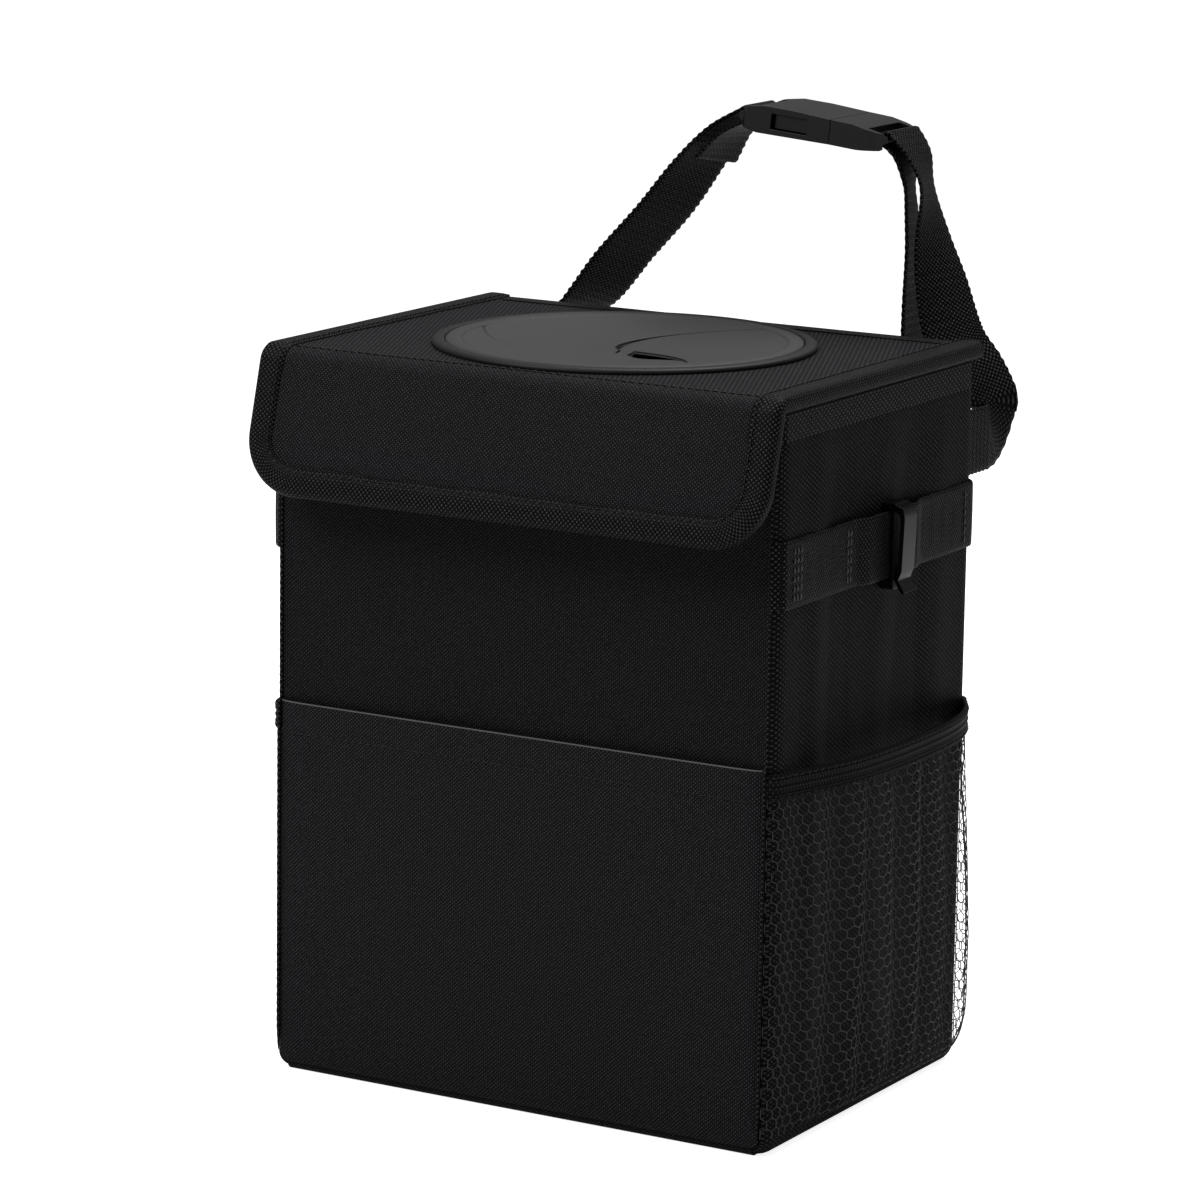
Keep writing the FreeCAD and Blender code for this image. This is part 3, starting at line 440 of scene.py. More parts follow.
# Edge path of the lid in its flat layout: down one side, round the flap and back
def lidEdge():
    radius = lid["corner"]
    down = np.linspace(0, wholeRun - radius, 120)
    along = np.linspace(-lidHalf + radius, lidHalf - radius, 100)[1:]
    bend = np.linspace(0, np.pi / 2, 26)[1:]
    leftBend = joined(-lidHalf + radius * (1 - np.cos(bend)), wholeRun - radius + radius * np.sin(bend))
    rightBend = joined(lidHalf - radius * (1 - np.sin(bend)), wholeRun - radius + radius * np.cos(bend))
    return np.concatenate([joined(-lidHalf, down), leftBend, joined(along, wholeRun), rightBend,
                           joined(lidHalf, down[-2::-1])])


# Tape folded round the lid's edge: a section of offset and height carried along the path
edgePath = lidEdge()
edgeStep = unit(np.gradient(edgePath, axis=0))
edgeIn = joined(edgeStep[:, 1], -edgeStep[:, 0])
edgeRun = lengthsAlong(edgePath)
wide, thick, under = lid["tapeWidth"], lid["tape"], -lid["stack"]
section = np.array([(wide, 0.0001), (wide - 0.0003, thick), (wide * 0.6, thick + 0.0003),
                    (0.002, thick + 0.0003), (0.0004, thick), (-0.0007, -0.0003),
                    (-0.0010, -0.0014), (-0.0010, under + 0.0012), (-0.0007, under + 0.0002),
                    (0.0006, under - thick * 0.9), (0.003, under - thick), (wide - 0.0003, under - thick),
                    (wide, under - 0.0001)])
wobble = sum(size * np.sin(edgeRun * rate + phase) for size, rate, phase in lid["wobbles"])
offset = section[:, 0] + np.where(section[:, 0] > wide * 0.9, wobble[:, None], 0)
tapeFlat = edgePath[:, None] + edgeIn[:, None] * offset[..., None]
tapePuff = np.where(section[:, 1] > 0, lidPuff(tapeFlat[..., 0], tapeFlat[..., 1]), 0)
tapePoints = lidMap(tapeFlat[..., 0], tapeFlat[..., 1], section[:, 1] + tapePuff)
makePiece("lidTape", tapePoints, gridFaces(len(edgePath), len(section)),
          joined(edgeRun[:, None], lengthsAlong(section)), "tapeCloth", "lid", ["lid_binding"])
print("lid made")


# Turned piece: radius and height pairs carried round the mouth's axis
def turnedPiece(name, profile, mat, replaced, count=220):
    radius, height = np.array(profile).T
    angle = np.linspace(0, 2 * np.pi, count, endpoint=False)[:, None]
    points = joined(radius * np.cos(angle), ringY + radius * np.sin(angle), height)
    faces = gridFaces(count, len(profile), wrapRows=True)
    makePiece(name, points, faces, None, mat, "lid", replaced)


ring = {"bore": 0.0620, "neck": 0.0640, "seat": 0.0674, "outer": 0.0723, "foot": lidTop - 0.0079,
        "flange": lidTop - 0.0002, "ledge": lidTop + 0.0008}
bore, outer, seat = ring["bore"], ring["outer"], ring["seat"]
turnedPiece("mouthRing", [
    (bore, ring["foot"]), (ring["neck"], ring["foot"]), (ring["neck"], ring["flange"]),
    (outer - 0.0005, ring["flange"]), (outer - 0.0001, lidTop + 0.0002), (outer, lidTop + 0.0009),
    (outer - 0.0002, lidTop + 0.0015), (outer - 0.0007, lidTop + 0.0019), (outer - 0.0015, ringTop - 0.0001),
    (outer - 0.0023, ringTop), (seat + 0.0008, ringTop), (seat + 0.0002, ringTop - 0.0002),
    (seat, ringTop - 0.0007), (seat, ring["ledge"]), (bore, ring["ledge"]), (bore, ring["foot"])],
    "ringPlastic", ["mouth_ring"])
membrane = {"inner": 0.0606, "outer": 0.0671, "top": ringTop - 0.0001, "thick": 0.0016}
inner, outer, top = membrane["inner"], membrane["outer"], membrane["top"]
turnedPiece("membraneRim", [
    (inner + 0.0004, top - membrane["thick"]), (outer, top - 0.0012), (outer, top - 0.0004),
    (outer - 0.0004, top), (bore, top + 0.0001), (inner, top - 0.0003), (inner, top - 0.0014),
    (inner + 0.0004, top - membrane["thick"])], "discRubber", ["mouth_membrane"])

# Swirl petals: each a bent leaf by radius and angle, whose leading edge stands over the next one
swirl = {"petals": 3, "first": 60, "inner": 0.0035, "outer": 0.0612, "mouth": 0.062, "thick": 0.0016,
         "dip": 0.006, "lift": 0.0044, "turn": math.radians(95), "slit": 0.00018, "lip": 0.0004,
         "lipWidth": 0.0008, "stillFrom": 0.034, "bentFrom": 0.026, "hingeDrop": 0.005, "steps": 60}
wedge = 2 * math.pi / swirl["petals"]
steps = swirl["steps"]
leafSize = steps * steps
leafFaces = gridFaces(steps, steps)
leafRim = np.concatenate([np.arange(steps), np.arange(1, steps) * steps + steps - 1,
                          (steps - 1) * steps + np.arange(steps - 2, -1, -1),
                          np.arange(steps - 2, 0, -1) * steps])
leafNext = np.roll(leafRim, -1)
leafWall = np.stack([leafRim, leafRim + leafSize, leafNext + leafSize, leafNext], -1)
leafFaces = np.concatenate([leafFaces[:, ::-1], leafFaces + leafSize, leafWall])
radius = np.linspace(swirl["inner"], swirl["outer"], steps)
share = np.linspace(0, 1, steps)[:, None]
inShare = 1 - radius / swirl["mouth"]
gap = swirl["slit"] / 2 / radius
leafTop = (ringTop - 0.0001 - swirl["dip"] * (1 - (radius / swirl["mouth"]) ** 2)
           + swirl["lift"] * (0.5 - share) * inShare ** 3)
rounded = swirl["lip"] * (np.exp(-share * radius / swirl["lipWidth"])
                          + np.exp(-(1 - share) * radius / swirl["lipWidth"]))
for number in range(swirl["petals"]):
    start = math.radians(swirl["first"]) + wedge * number
    angle = start + swirl["turn"] * inShare + gap + share * (wedge - 2 * gap)
    x, y = radius * np.cos(angle), ringY + radius * np.sin(angle)
    upper = joined(x, y, leafTop - rounded)
    lower = joined(x, y, leafTop - swirl["thick"] + rounded * 0.5)
    node = "petal_%d" % (number + 1)
    leaf = makePiece("petal%d" % (number + 1), np.stack([upper, lower]), leafFaces, None, "discRubber", None,
                     [node])
    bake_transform(leaf)
print("mouth made")

# Hanging strap: webbing from the body's back edges up to the buckle's two bars.
# A station is x, y, z and the twist and lean of the webbing's width, in degrees.
strap = {"depth": halfDepth + 0.026, "rim": panelTop + 0.0008, "level": panelTop + 0.0818,
         "tilt": math.radians(5), "left": -0.0045, "length": 0.0655, "bar": 0.00175, "width": 0.025,
         "thick": 0.0014, "wrap": 0.00255, "rib": 0.0031, "puff": 0.10, "thinEdge": 0.35, "count": 420,
         "rootInset": 0.0015, "rootDrop": 0.0186, "rootGap": 0.0006}
depth, rim = strap["depth"], strap["rim"]
barReach = strap["length"] / 2 - strap["bar"]
barX, barZ = barReach * math.cos(strap["tilt"]), barReach * math.sin(strap["tilt"])
femaleX, femaleZ = strap["left"] + strap["length"] / 2 - barX, strap["level"] + barZ
maleX, maleZ = strap["left"] + strap["length"] / 2 + barX, strap["level"] - barZ


# Ribbon: a flat ring of points carried along the stations, with ribs across it and closed ends
def ribbon(name, stations, scallop):
    count, width = strap["count"], strap["width"]
    path, run = resample(stations, count)
    spot, twist, lean = path[:, :3], np.radians(path[:, 3]), np.radians(path[:, 4])
    ahead = unit(np.gradient(spot, axis=0))
    side = joined(np.cos(twist) * np.cos(lean), np.sin(twist) * np.cos(lean), np.sin(lean))
    side = unit(side - ahead * (side * ahead).sum(1)[:, None])
    up = np.cross(ahead, side)
    row = np.linspace(-1, 1, 15)
    place = np.concatenate([[-1], row, row[:0:-1]])
    face = np.concatenate([[-1], np.ones(len(row)), -np.ones(len(row) - 1)])
    edge = np.abs(place) > 0.99
    wave = np.sin(run * 2 * np.pi / strap["rib"])[:, None]
    half = (width / 2 + scallop * wave * edge) * place
    puffed = strap["thick"] / 2 * (1 - strap["thinEdge"] * edge) * (1 + strap["puff"] * wave) * face
    points = spot[:, None] + side[:, None] * half[..., None] + up[:, None] * puffed[..., None]
    ringSize = len(place)
    at = np.arange(1, len(row))
    cap = np.stack([at, at + 1, ringSize - at, (ringSize - at + 1) % ringSize], 1)
    faces = np.concatenate([gridFaces(count, ringSize, wrapCols=True)[:, ::-1], cap,
                            cap[:, ::-1] + (count - 1) * ringSize])
    uv = joined(run[:, None], place * width / 2)
    return makePiece(name, points, faces, uv, "webCloth", None, None)


# Turn of the webbing round a buckle bar
def wrap(x, z, angles):
    turns, away = np.radians(angles), strap["wrap"]
    return [(x + away * math.cos(turn), depth, z + away * math.sin(turn), 90, 0) for turn in turns]


# Root of the strap: out of the body's back edge, then a quarter bend upwards
def strapRoot(x, shift, roll):
    bend = strap["width"] / 2 + strap["rootGap"]
    low = rim - strap["rootDrop"] - bend
    stations = [(x, halfDepth - 0.006, low, 90, -90), (x, halfDepth + 0.002, low, 90, -90)]
    for turn in np.radians(np.linspace(0, 90, 9)):
        share = math.sin(turn) ** 2
        y, z = depth - bend + bend * math.sin(turn), low + bend * (1 - math.cos(turn))
        stations.append((x + shift * share, y, z, 90 - roll * share, math.degrees(turn) - 90))
    return stations


leftRun = strapRoot(-halfWidth + strap["rootInset"], 0.002, 8)
leftRun += [(-halfWidth + 0.013, depth - 0.001, rim - 0.008, 74, 0),
            (-halfWidth + 0.031, depth - 0.003, rim + 0.004, 58, 0),
            (-halfWidth + 0.0475, depth - 0.002, rim + 0.024, 54, 0),
            (-halfWidth + 0.0645, depth - 0.001, rim + 0.043, 55, 0),
            (femaleX - 0.026, depth - 0.0004, femaleZ - 0.022, 62, 0),
            (femaleX - 0.013, depth, femaleZ - 0.0065, 77, 0)]
leftRun += wrap(femaleX, femaleZ, (125, 90, 45, 0, -45, -80))
leftRun += [(femaleX - 0.010, depth, femaleZ - 0.0085, 85, 0),
            (femaleX - 0.019, depth, femaleZ - 0.020, 72, 0)]
rightRun = strapRoot(halfWidth - strap["rootInset"], -0.0058, 34)
rightRun += [(halfWidth - 0.013, depth - 0.0015, rim - 0.007, 57, 0),
             (halfWidth - 0.0217, depth - 0.003, rim + 0.005, 52, 0),
             (halfWidth - 0.028, depth - 0.002, rim + 0.024, 66, 0),
             (halfWidth - 0.0325, depth - 0.001, rim + 0.040, 85, 0),
             (maleX + 0.0123, depth, maleZ - 0.019, 106, 0),
             (maleX + 0.0083, depth, maleZ - 0.0065, 97, 0)]
rightRun += wrap(maleX, maleZ, (45, 90, 135, 180, 225, 260))
rightRun += [(maleX + 0.0035, depth, maleZ - 0.0075, 95, 0),
             (maleX + 0.0046, depth, maleZ - 0.018, 108, 0),
             (maleX + 0.006, depth - 0.0005, maleZ - 0.028, 107, 0),
             (maleX + 0.008, depth - 0.002, rim + 0.036, 104, 0),
             (maleX + 0.0092, depth - 0.003, rim + 0.016, 98, 0),
             (maleX + 0.0105, depth - 0.0035, rim - 0.008, 92, 0)]
strapLeft = ribbon("strapLeft", leftRun, 0.0003)
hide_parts("strap_left")
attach(strapLeft, "bin")
strapRight = ribbon("strapRight", rightRun, 0.0002)
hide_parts("strap_right")
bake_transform(strapRight)
print("straps made")

# Plastic mouldings: the frame's solids with their edges eased
easing = {"merge": 1e-6, "flat": 0.02, "segments": 3, "sharp": math.radians(25)}


def eased(name, node, body, width, mat):
    mesh = nodes[node].data.copy()
    mesh.name = name
    solid = bmesh.new()
    solid.from_mesh(mesh)
    bmesh.ops.remove_doubles(solid, verts=solid.verts, dist=easing["merge"])
    bmesh.ops.dissolve_limit(solid, angle_limit=easing["flat"], verts=solid.verts, edges=solid.edges)
    solid.to_mesh(mesh)
    solid.free()
    mesh.materials.clear()
    mesh.materials.append(mats[mat])
    mesh.polygons.foreach_set("use_smooth", np.ones(len(mesh.polygons), bool))
    obj = bpy.data.objects.new(name, mesh)
    bpy.context.scene.collection.objects.link(obj)
    bevel = obj.modifiers.new("ease", "BEVEL")
    bevel.width = width
    bevel.segments = easing["segments"]
    bevel.limit_method = "ANGLE"
    bevel.angle_limit = easing["sharp"]
    obj.modifiers.new("evenNormals", "WEIGHTED_NORMAL")
    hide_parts(node)
    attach(obj, body)


eased("buckleFemale", "buckle_female", "bin", 0.0012, "blackPlastic")
eased("buckleMale", "buckle_male", "buckle_male", 0.0012, "blackPlastic")
eased("hookRight", "hook_clip_right", "hook_right", 0.0006, "hookPlastic")
eased("hookLeft", "hook_clip_left", "hook_left", 0.0006, "hookPlastic")
print("plastics made")

# Lines on the side by place along the depth and distance off the side: the pockets' bulge, and the
# webbing that stands off under the hook. Both have their ends tucked round the seams.
sideLines = {"count": 170, "bulge": 0.013, "hump": 0.0025, "endIn": 0.0055, "thinEdge": 0.25}
seamTuck = np.array([(-halfDepth + 0.0001, -0.0034), (-halfDepth + 0.0008, -0.0020),
                     (-halfDepth + 0.0028, -0.0006)])
bulgeShares = np.array([(-0.471, 0.0), (-0.42, 0.17), (-0.34, 0.46), (-0.22, 0.80), (-0.07, 0.97),
                        (0.08, 1.0), (0.22, 0.94), (0.33, 0.74), (0.41, 0.42), (0.471, 0.0)])
humpHalf = np.array([(0.016, 0.00245), (0.020, 0.0020), (0.024, 0.0008), (0.028, 0.0002), (0.046, 0.0001)])


def sideLine(points):
    return resample(np.concatenate([seamTuck, points, seamTuck[::-1] * [-1, 1]]), sideLines["count"])


def sideways(line):
    step = unit(np.gradient(line, axis=0))
    return joined(-step[:, 1], step[:, 0])


bulgeLine, bulgeRun = sideLine(bulgeShares * [2 * halfDepth, sideLines["bulge"]])
hump = np.concatenate([humpHalf[::-1] * [-1, 1], [(0, sideLines["hump"])], humpHalf]) + [clipY, 0]
endPlace = halfDepth - sideLines["endIn"]
humpLine, humpRun = sideLine(np.concatenate([[(-endPlace, 0)], hump, [(endPlace, 0)]]))
elasticBand = {"thick": 0.0016, "rib": 0.0015, "relief": 0, "ridges": 4, "ridge": 0.00022, "scallop": 0}
webbingBand = {"thick": 0.0013, "rib": 0.0021, "relief": 0.00012, "ridges": 0, "ridge": 0, "scallop": 0.00012}


# Band along a side line: a closed flat section, with ribs across it or ridges along it
def sideBand(name, sign, line, run, low, high, band, mat, replaced):
    upwards = np.linspace(0, 1, 25)
    rise = np.concatenate([upwards, upwards[::-1]])
    face = np.repeat([1, 0], len(upwards))
    edge = np.abs(rise - 0.5) > 0.49
    ribs = np.sin(run * 2 * np.pi / band["rib"])[:, None]
    z = low + rise * (high - low) + band["scallop"] * ribs * edge * np.sign(rise - 0.5)
    relief = (band["relief"] * ribs * np.sin(np.pi * rise)
              + band["ridge"] * np.cos(2 * np.pi * band["ridges"] * rise))
    far = face * (band["thick"] * (1 - sideLines["thinEdge"] * edge) + relief)
    plan = line[:, None] + sideways(line)[:, None] * far[..., None]
    points = joined(sign * (halfWidth + plan[..., 1]), plan[..., 0], z)
    makePiece(name, points, gridFaces(len(line), len(rise), wrapCols=True)[:, ::-sign],
              joined(run[:, None], rise * (high - low)), mat, "bin", replaced)


for sign, side in ((1, "right"), (-1, "left")):
    sideBand("elastic" + side.title(), sign, bulgeLine, bulgeRun, elasticLow, elasticHigh, elasticBand,
             "elasticCloth", ["pocket_elastic_" + side])
    sideBand("webbing" + side.title(), sign, humpLine, humpRun, webLow, webHigh, webbingBand,
             "webCloth", ["side_webbing_" + side])
print("bands made")

# Open six-sided net over the bulge, in upright pleats, fuller low down and towards the back
net = {"cell": 0.0044, "strand": 0.00042, "low": 0.0068, "high": elasticLow + 0.0008, "ease": 0.024,
       "off": 0.0004, "least": 0.0005, "pleat": 0.021, "pleatEnds": 0.030, "pleatShift": 0.0016,
       "pleatOut": 0.0011, "pleatDrift": 1.4, "gather": 0.05, "gatherRate": 160, "gatherFrom": 0.05,
       "full": 0.12, "fullBack": 0.70, "backFrom": 0.030, "backFade": 0.040, "fade": 0.08, "uneven": 0.10,
       "rowRatio": 0.866, "shortest": 2e-4}


# Place on the net from the run along the elastic and the height
def netMap(u, z, sign):
    wave = u * 2 * np.pi / net["pleat"] + net["pleatDrift"] * smoothNoise(43, 6, 30)(u, z)
    ends = ramp(np.minimum(u, bulgeRun[-1] - u), net["pleatEnds"])
    u = u + net["pleatShift"] * np.sin(wave) * ends
    y = np.interp(u, bulgeRun, bulgeLine[:, 0])
    bulge = np.interp(u, bulgeRun, bulgeLine[:, 1])
    lowShare = ramp(z - net["low"], net["ease"])
    gather = 1 + net["gather"] * np.sin(u * net["gatherRate"]) * ramp(z - net["gatherFrom"], net["fade"])
    fuller = net["full"] + net["fullBack"] * ramp(y - net["backFrom"], net["backFade"])
    fuller = 1 + fuller * ramp(net["high"] - z, net["fade"])
    uneven = 1 + net["uneven"] * smoothNoise(41, 7, 60)(u, z)
    out = bulge * fuller * np.sqrt(1 - (1 - lowShare) ** 2) * gather * uneven + net["off"]
    out = np.maximum(out + net["pleatOut"] * np.cos(wave) * ends * lowShare, net["least"])
    out = np.where(bulge < net["least"], bulge + net["off"], out)
    return joined(sign * (halfWidth + out), y, z)


# Each cell gives an upright strand and two that fork from its top; a strand is a thin square tube
def netPiece(name, sign, replaced):
    tall = net["high"] - net["low"]
    cols = int(bulgeRun[-1] / net["cell"])
    pitch = bulgeRun[-1] / cols
    rows = int(tall / (pitch * net["rowRatio"])) + 1
    row, col = np.meshgrid(np.arange(rows), np.arange(cols), indexing="ij")
    across = col + 0.5 * (row % 2)
    low, high = joined(across, row + 1 / 6), joined(across, row + 5 / 6)
    left, right = joined(across - 0.5, row + 7 / 6), joined(across + 0.5, row + 7 / 6)
    strands = np.stack([low, high, high, left, high, right], 2).reshape(-1, 2, 2)
    u = np.clip(strands[..., 0] * pitch, 0, bulgeRun[-1])
    z = net["low"] + np.clip(strands[..., 1] * tall / rows, 0, tall)
    ends = netMap(u, z, sign)
    ends = ends[np.linalg.norm(ends[:, 1] - ends[:, 0], axis=1) > net["shortest"]]
    run = unit(ends[:, 1] - ends[:, 0])
    side = unit(np.cross(run, [sign, 0.0, 0.0]))
    lift = np.cross(side, run)
    ring = net["strand"] / 2 * np.stack([side, lift, -side, -lift], 1)
    points = ends[:, :, None] + ring[:, None]
    faces = np.arange(len(ends))[:, None, None] * 8 + gridFaces(2, 4, wrapCols=True)
    makePiece(name, points, faces.reshape(-1, 4), None, "netThread", "bin", [replaced])


netPiece("netRight", 1, "mesh_pocket_right")
netPiece("netLeft", -1, "mesh_pocket_left")
print("nets made")

# Stitches: short thread beads along a line, each set one piece
stitch = {"gap": 0.0034, "long": 0.0024, "thick": 0.00032, "arch": 0.8, "sunk": 0.25, "endGirth": 0.55,
          "rings": 5, "sides": 6}


# Beads of one row: rings round each stitch, highest and widest at its middle
def stitchRow(line, normals):
    length = lengthsAlong(line)
    at = np.arange(stitch["gap"] / 2, length[-1] - stitch["long"], stitch["gap"])
    first, last, up = (np.stack([np.interp(place, length, column) for column in values.T], 1)
                       for place, values in ((at, line), (at + stitch["long"], line), (at, normals)))
    side = np.cross(unit(last - first), up)
    share = np.linspace(0, 1, stitch["rings"])[:, None]
    arch = np.sin(np.pi * share)
    lift = stitch["thick"] * (stitch["arch"] * arch - stitch["sunk"])
    middles = first[:, None] + (last - first)[:, None] * share + up[:, None] * lift
    girth = stitch["thick"] * (stitch["endGirth"] + (1 - stitch["endGirth"]) * arch)
    turn = np.linspace(0, 2 * np.pi, stitch["sides"], endpoint=False)[:, None]
    ring = side[:, None] * np.cos(turn) + up[:, None] * np.sin(turn)
    return middles[:, :, None] + ring[:, None] * girth[:, None]


def stitches(name, rows, body, thread):
    points = np.concatenate([stitchRow(line, np.broadcast_to(normal, line.shape)) for line, normal in rows])
    bead = gridFaces(stitch["rings"], stitch["sides"], wrapCols=True)
    faces = np.arange(len(points))[:, None, None] * stitch["rings"] * stitch["sides"] + bead
    makePiece(name, points, faces.reshape(-1, 4), None, thread, body)


# Rows along the fold and the tape of the lid
lidRows = {"foldEnd": 0.010, "foldIn": 0.0005, "foldOff": 0.0002, "tapeIn": 0.0085, "tapeOff": 0.0003}
foldX = np.linspace(-lidHalf + lidRows["foldEnd"], lidHalf - lidRows["foldEnd"], 60)
foldLine = lidMap(foldX, topRun + lidRows["foldIn"], lidRows["foldOff"])
seamX, seamS = (edgePath + edgeIn * lidRows["tapeIn"]).T
tapeLine = lidMap(seamX, seamS, lid["tape"] + lidRows["tapeOff"] + lidPuff(seamX, seamS))
tapeNormal = unit(lidMap(seamX, seamS, 0.002) - lidMap(seamX, seamS, 0.001))
stitches("lidStitches", [(foldLine, (0, -0.2, 0.98)), (tapeLine, tapeNormal)], "lid", "stitchThread")

# Rows along the pocket's hem and both edges of the elastic, and across the webbing
sideRows = {"hemEnd": 0.004, "hemOff": 0.0002, "webEnd": 0.001, "webOff": 0.0015, "elasticIn": 0.0012,
            "elasticOff": 0.0017, "front": (0.0085, 0.0110, 0.0135), "clip": (0.0305, 0.0328), "back": 0.010}
hemX = np.linspace(-pocket["half"] + sideRows["hemEnd"], pocket["half"] - sideRows["hemEnd"], 90)
hemZ = pocket["high"] - pocket["hem"] + pocket["hemStep"]
bodyRows = [(joined(hemX, pocket["y"] - pocketBow(hemX, hemZ) - sideRows["hemOff"], hemZ), (0, -1, 0))]
bandRows = []
bandPlaces = [-halfDepth + place for place in sideRows["front"]]
bandPlaces += [clipY - place for place in sideRows["clip"]]
bandPlaces += [halfDepth - sideRows["back"]]
bandZ = np.linspace(webLow + sideRows["webEnd"], webHigh - sideRows["webEnd"], 12)
bulgeOut = sideways(bulgeLine)
elasticPlan = bulgeLine + bulgeOut * sideRows["elasticOff"]
for sign in (1, -1):
    bandX = sign * (halfWidth + sideRows["webOff"])
    bandRows += [(joined(bandX, y, bandZ), (sign, 0, 0)) for y in bandPlaces]
    for z in (elasticLow + sideRows["elasticIn"], elasticHigh - sideRows["elasticIn"]):
        bodyRows.append((joined(sign * (halfWidth + elasticPlan[:, 1]), elasticPlan[:, 0], z),
                         joined(sign * bulgeOut[:, 1], bulgeOut[:, 0], 0)))
stitches("bodyStitches", bodyRows, "bin", "stitchThread")
stitches("webbingStitches", bandRows, "bin", "paleThread")
print("stitches made")

# Hinge tape: one section of y and z from the back panel over to the lid's top, carried along x
hingeTape = {"half": halfWidth - 0.010, "cols": 60, "rows": 24, "length": 0.035}
hingeSection = [(halfDepth + 0.0004, lidTop - 0.0238), (halfDepth + 0.0006, lidTop - 0.010),
                (halfDepth + 0.0011, lidTop - 0.0035), (halfDepth + 0.0004, lidTop - 0.0004),
                (halfDepth - 0.003, lidTop + 0.0003), (halfDepth - 0.010, lidTop + 0.0004)]
hingeLine = resample(hingeSection, hingeTape["rows"])[0]
hingeX = np.linspace(-hingeTape["half"], hingeTape["half"], hingeTape["cols"])[:, None]
hinge = makePiece("hingeTape", joined(hingeX, hingeLine[:, 0], hingeLine[:, 1]),
                  gridFaces(hingeTape["cols"], hingeTape["rows"]),
                  joined(hingeX, np.linspace(0, hingeTape["length"], hingeTape["rows"])), "tapeCloth",
                  None, ["hinge_tape"])
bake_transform(hinge)

# Finish on the frame's own nodes that stay in view
nodeFinish = {"back_panel": "oxfordPlain", "bottom_panel": "oxfordPlain", "rim_binding": "tapePlain",
              "liner": "liningFilm", "lid_lining": "liningFilm", "front_board": "boardStock",
              "back_board": "boardStock", "bottom_board": "boardStock", "lid_board": "boardStock",
              "flap_board": "boardStock", "retaining_ring": "ringPlastic"}
for node, mat in nodeFinish.items():
    nodes[node].data.materials.clear()
    nodes[node].data.materials.append(mats[mat])
print("finishes set")

# Floor: white in view, and still darker where the part shades it
floorLook = {"half": 6, "color": (0.86, 0.86, 0.86, 1), "rough": 0.9, "glow": 0.85}
far = floorLook["half"]
floorMesh = bpy.data.meshes.new("floor")
floorMesh.from_pydata([(-far, -far, 0), (far, -far, 0), (far, far, 0), (-far, far, 0)], [], [(0, 1, 2, 3)])
floor = bpy.data.objects.new("floor", floorMesh)
bpy.context.scene.collection.objects.link(floor)
floorMat, floorTree, floorShader = newMaterial("floorPale")
floorShader.inputs["Base Color"].default_value = floorLook["color"]
floorShader.inputs["Roughness"].default_value = floorLook["rough"]
floorMesh.materials.append(floorMat)
floorRays = floorTree.nodes.new("ShaderNodeLightPath")
glow = floorTree.nodes.new("ShaderNodeEmission")
glow.inputs["Color"].default_value = (1, 1, 1, 1)
inView = mathNode(floorTree, "MULTIPLY", floorRays.outputs["Is Camera Ray"], floorLook["glow"])
floorTree.links.new(inView, glow.inputs["Strength"])
floorSum = floorTree.nodes.new("ShaderNodeAddShader")
floorTree.links.new(floorShader.outputs[0], floorSum.inputs[0])
floorTree.links.new(glow.outputs[0], floorSum.inputs[1])
floorTree.links.new(floorSum.outputs[0], floorTree.nodes["Material Output"].inputs["Surface"])

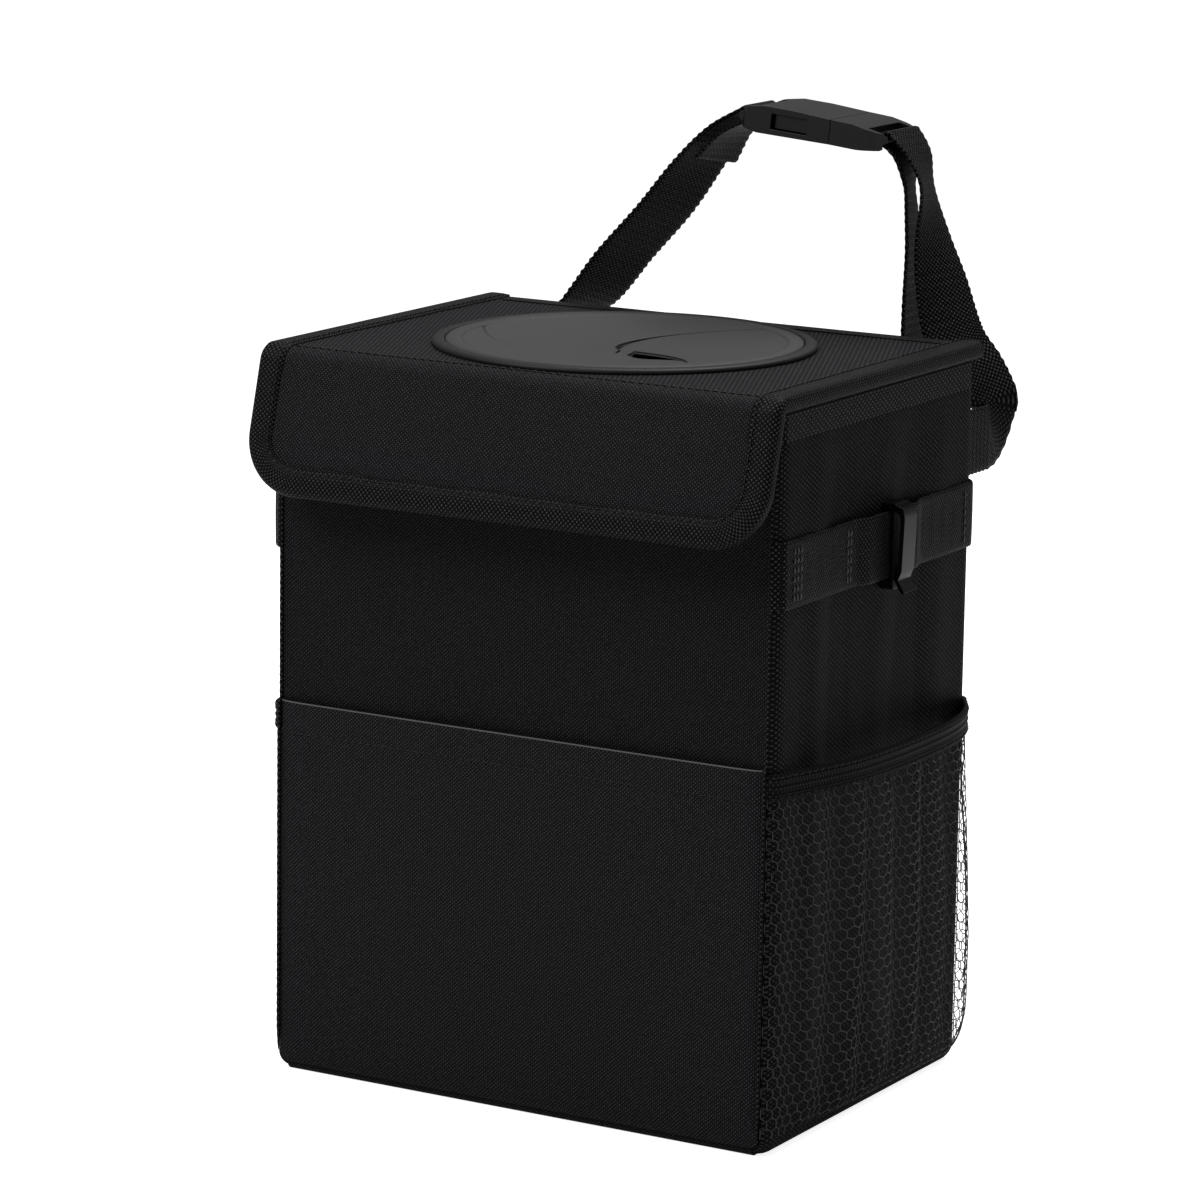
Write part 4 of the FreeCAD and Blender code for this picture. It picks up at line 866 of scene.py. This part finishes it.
# Studio: dim all round for the part, white in view
studio = {"color": (0.9, 0.9, 0.9, 1), "strength": 0.20}
world = bpy.data.worlds.new("studio")
bpy.context.scene.world = world
world.use_nodes = True
sky = world.node_tree
backdrop = sky.nodes["Background"]
backdrop.inputs["Color"].default_value = studio["color"]
backdrop.inputs["Strength"].default_value = studio["strength"]
white = sky.nodes.new("ShaderNodeBackground")
white.inputs["Color"].default_value = (1, 1, 1, 1)
white.inputs["Strength"].default_value = 1.0
skyRays = sky.nodes.new("ShaderNodeLightPath")
skyMix = sky.nodes.new("ShaderNodeMixShader")
sky.links.new(skyRays.outputs["Is Camera Ray"], skyMix.inputs[0])
sky.links.new(backdrop.outputs[0], skyMix.inputs[1])
sky.links.new(white.outputs[0], skyMix.inputs[2])
sky.links.new(skyMix.outputs[0], sky.nodes["World Output"].inputs["Surface"])


def areaLight(name, place, aim, size, power):
    light = bpy.data.lights.new(name, "AREA")
    light.shape = "RECTANGLE"
    light.size, light.size_y = size
    light.energy = power
    obj = bpy.data.objects.new(name, light)
    obj.location = place
    obj.rotation_euler = (Vector(aim) - Vector(place)).to_track_quat("-Z", "Y").to_euler()
    bpy.context.scene.collection.objects.link(obj)


areaLight("keyLight", (-0.7, -1.1, 1.5), (0, 0, 0.15), (0.9, 0.9), 24)
areaLight("topLight", (0.1, 0.5, 1.5), (0, 0, 0.25), (1.0, 0.8), 19)
areaLight("sideLight", (1.4, -0.1, 0.7), (0.1, 0, 0.15), (0.7, 1.0), 1.2)

# Camera at the photograph's angle, with the focal length in pixels of its frame
shot = {"azimuth": 30.20402, "elevation": 11.67107, "roll": 0.86969, "focal": 5206.667, "shiftX": -0.00661141,
        "shiftY": 0.17807557, "distance": 2.00723977, "pixels": 1200, "sensor": 36}
azimuth, elevation, roll = (math.radians(shot[key]) for key in ("azimuth", "elevation", "roll"))
back = Vector((math.sin(azimuth) * math.cos(elevation), -math.cos(azimuth) * math.cos(elevation),
               math.sin(elevation)))
right = Vector((math.cos(azimuth), math.sin(azimuth), 0))
up = back.cross(right)
right, up = right * math.cos(roll) + up * math.sin(roll), up * math.cos(roll) - right * math.sin(roll)
camData = bpy.data.cameras.new("shotCamera")
camData.sensor_width = shot["sensor"]
camData.lens = shot["focal"] / shot["pixels"] * shot["sensor"]
cam = bpy.data.objects.new("shotCamera", camData)
bpy.context.scene.collection.objects.link(cam)
turned = Matrix((right, up, back)).transposed().to_4x4()
turned.translation = back * shot["distance"] + right * shot["shiftX"] + up * shot["shiftY"]
cam.matrix_world = turned
bpy.context.scene.camera = cam
bpy.context.scene.view_settings.view_transform = "Standard"

print("stage set")
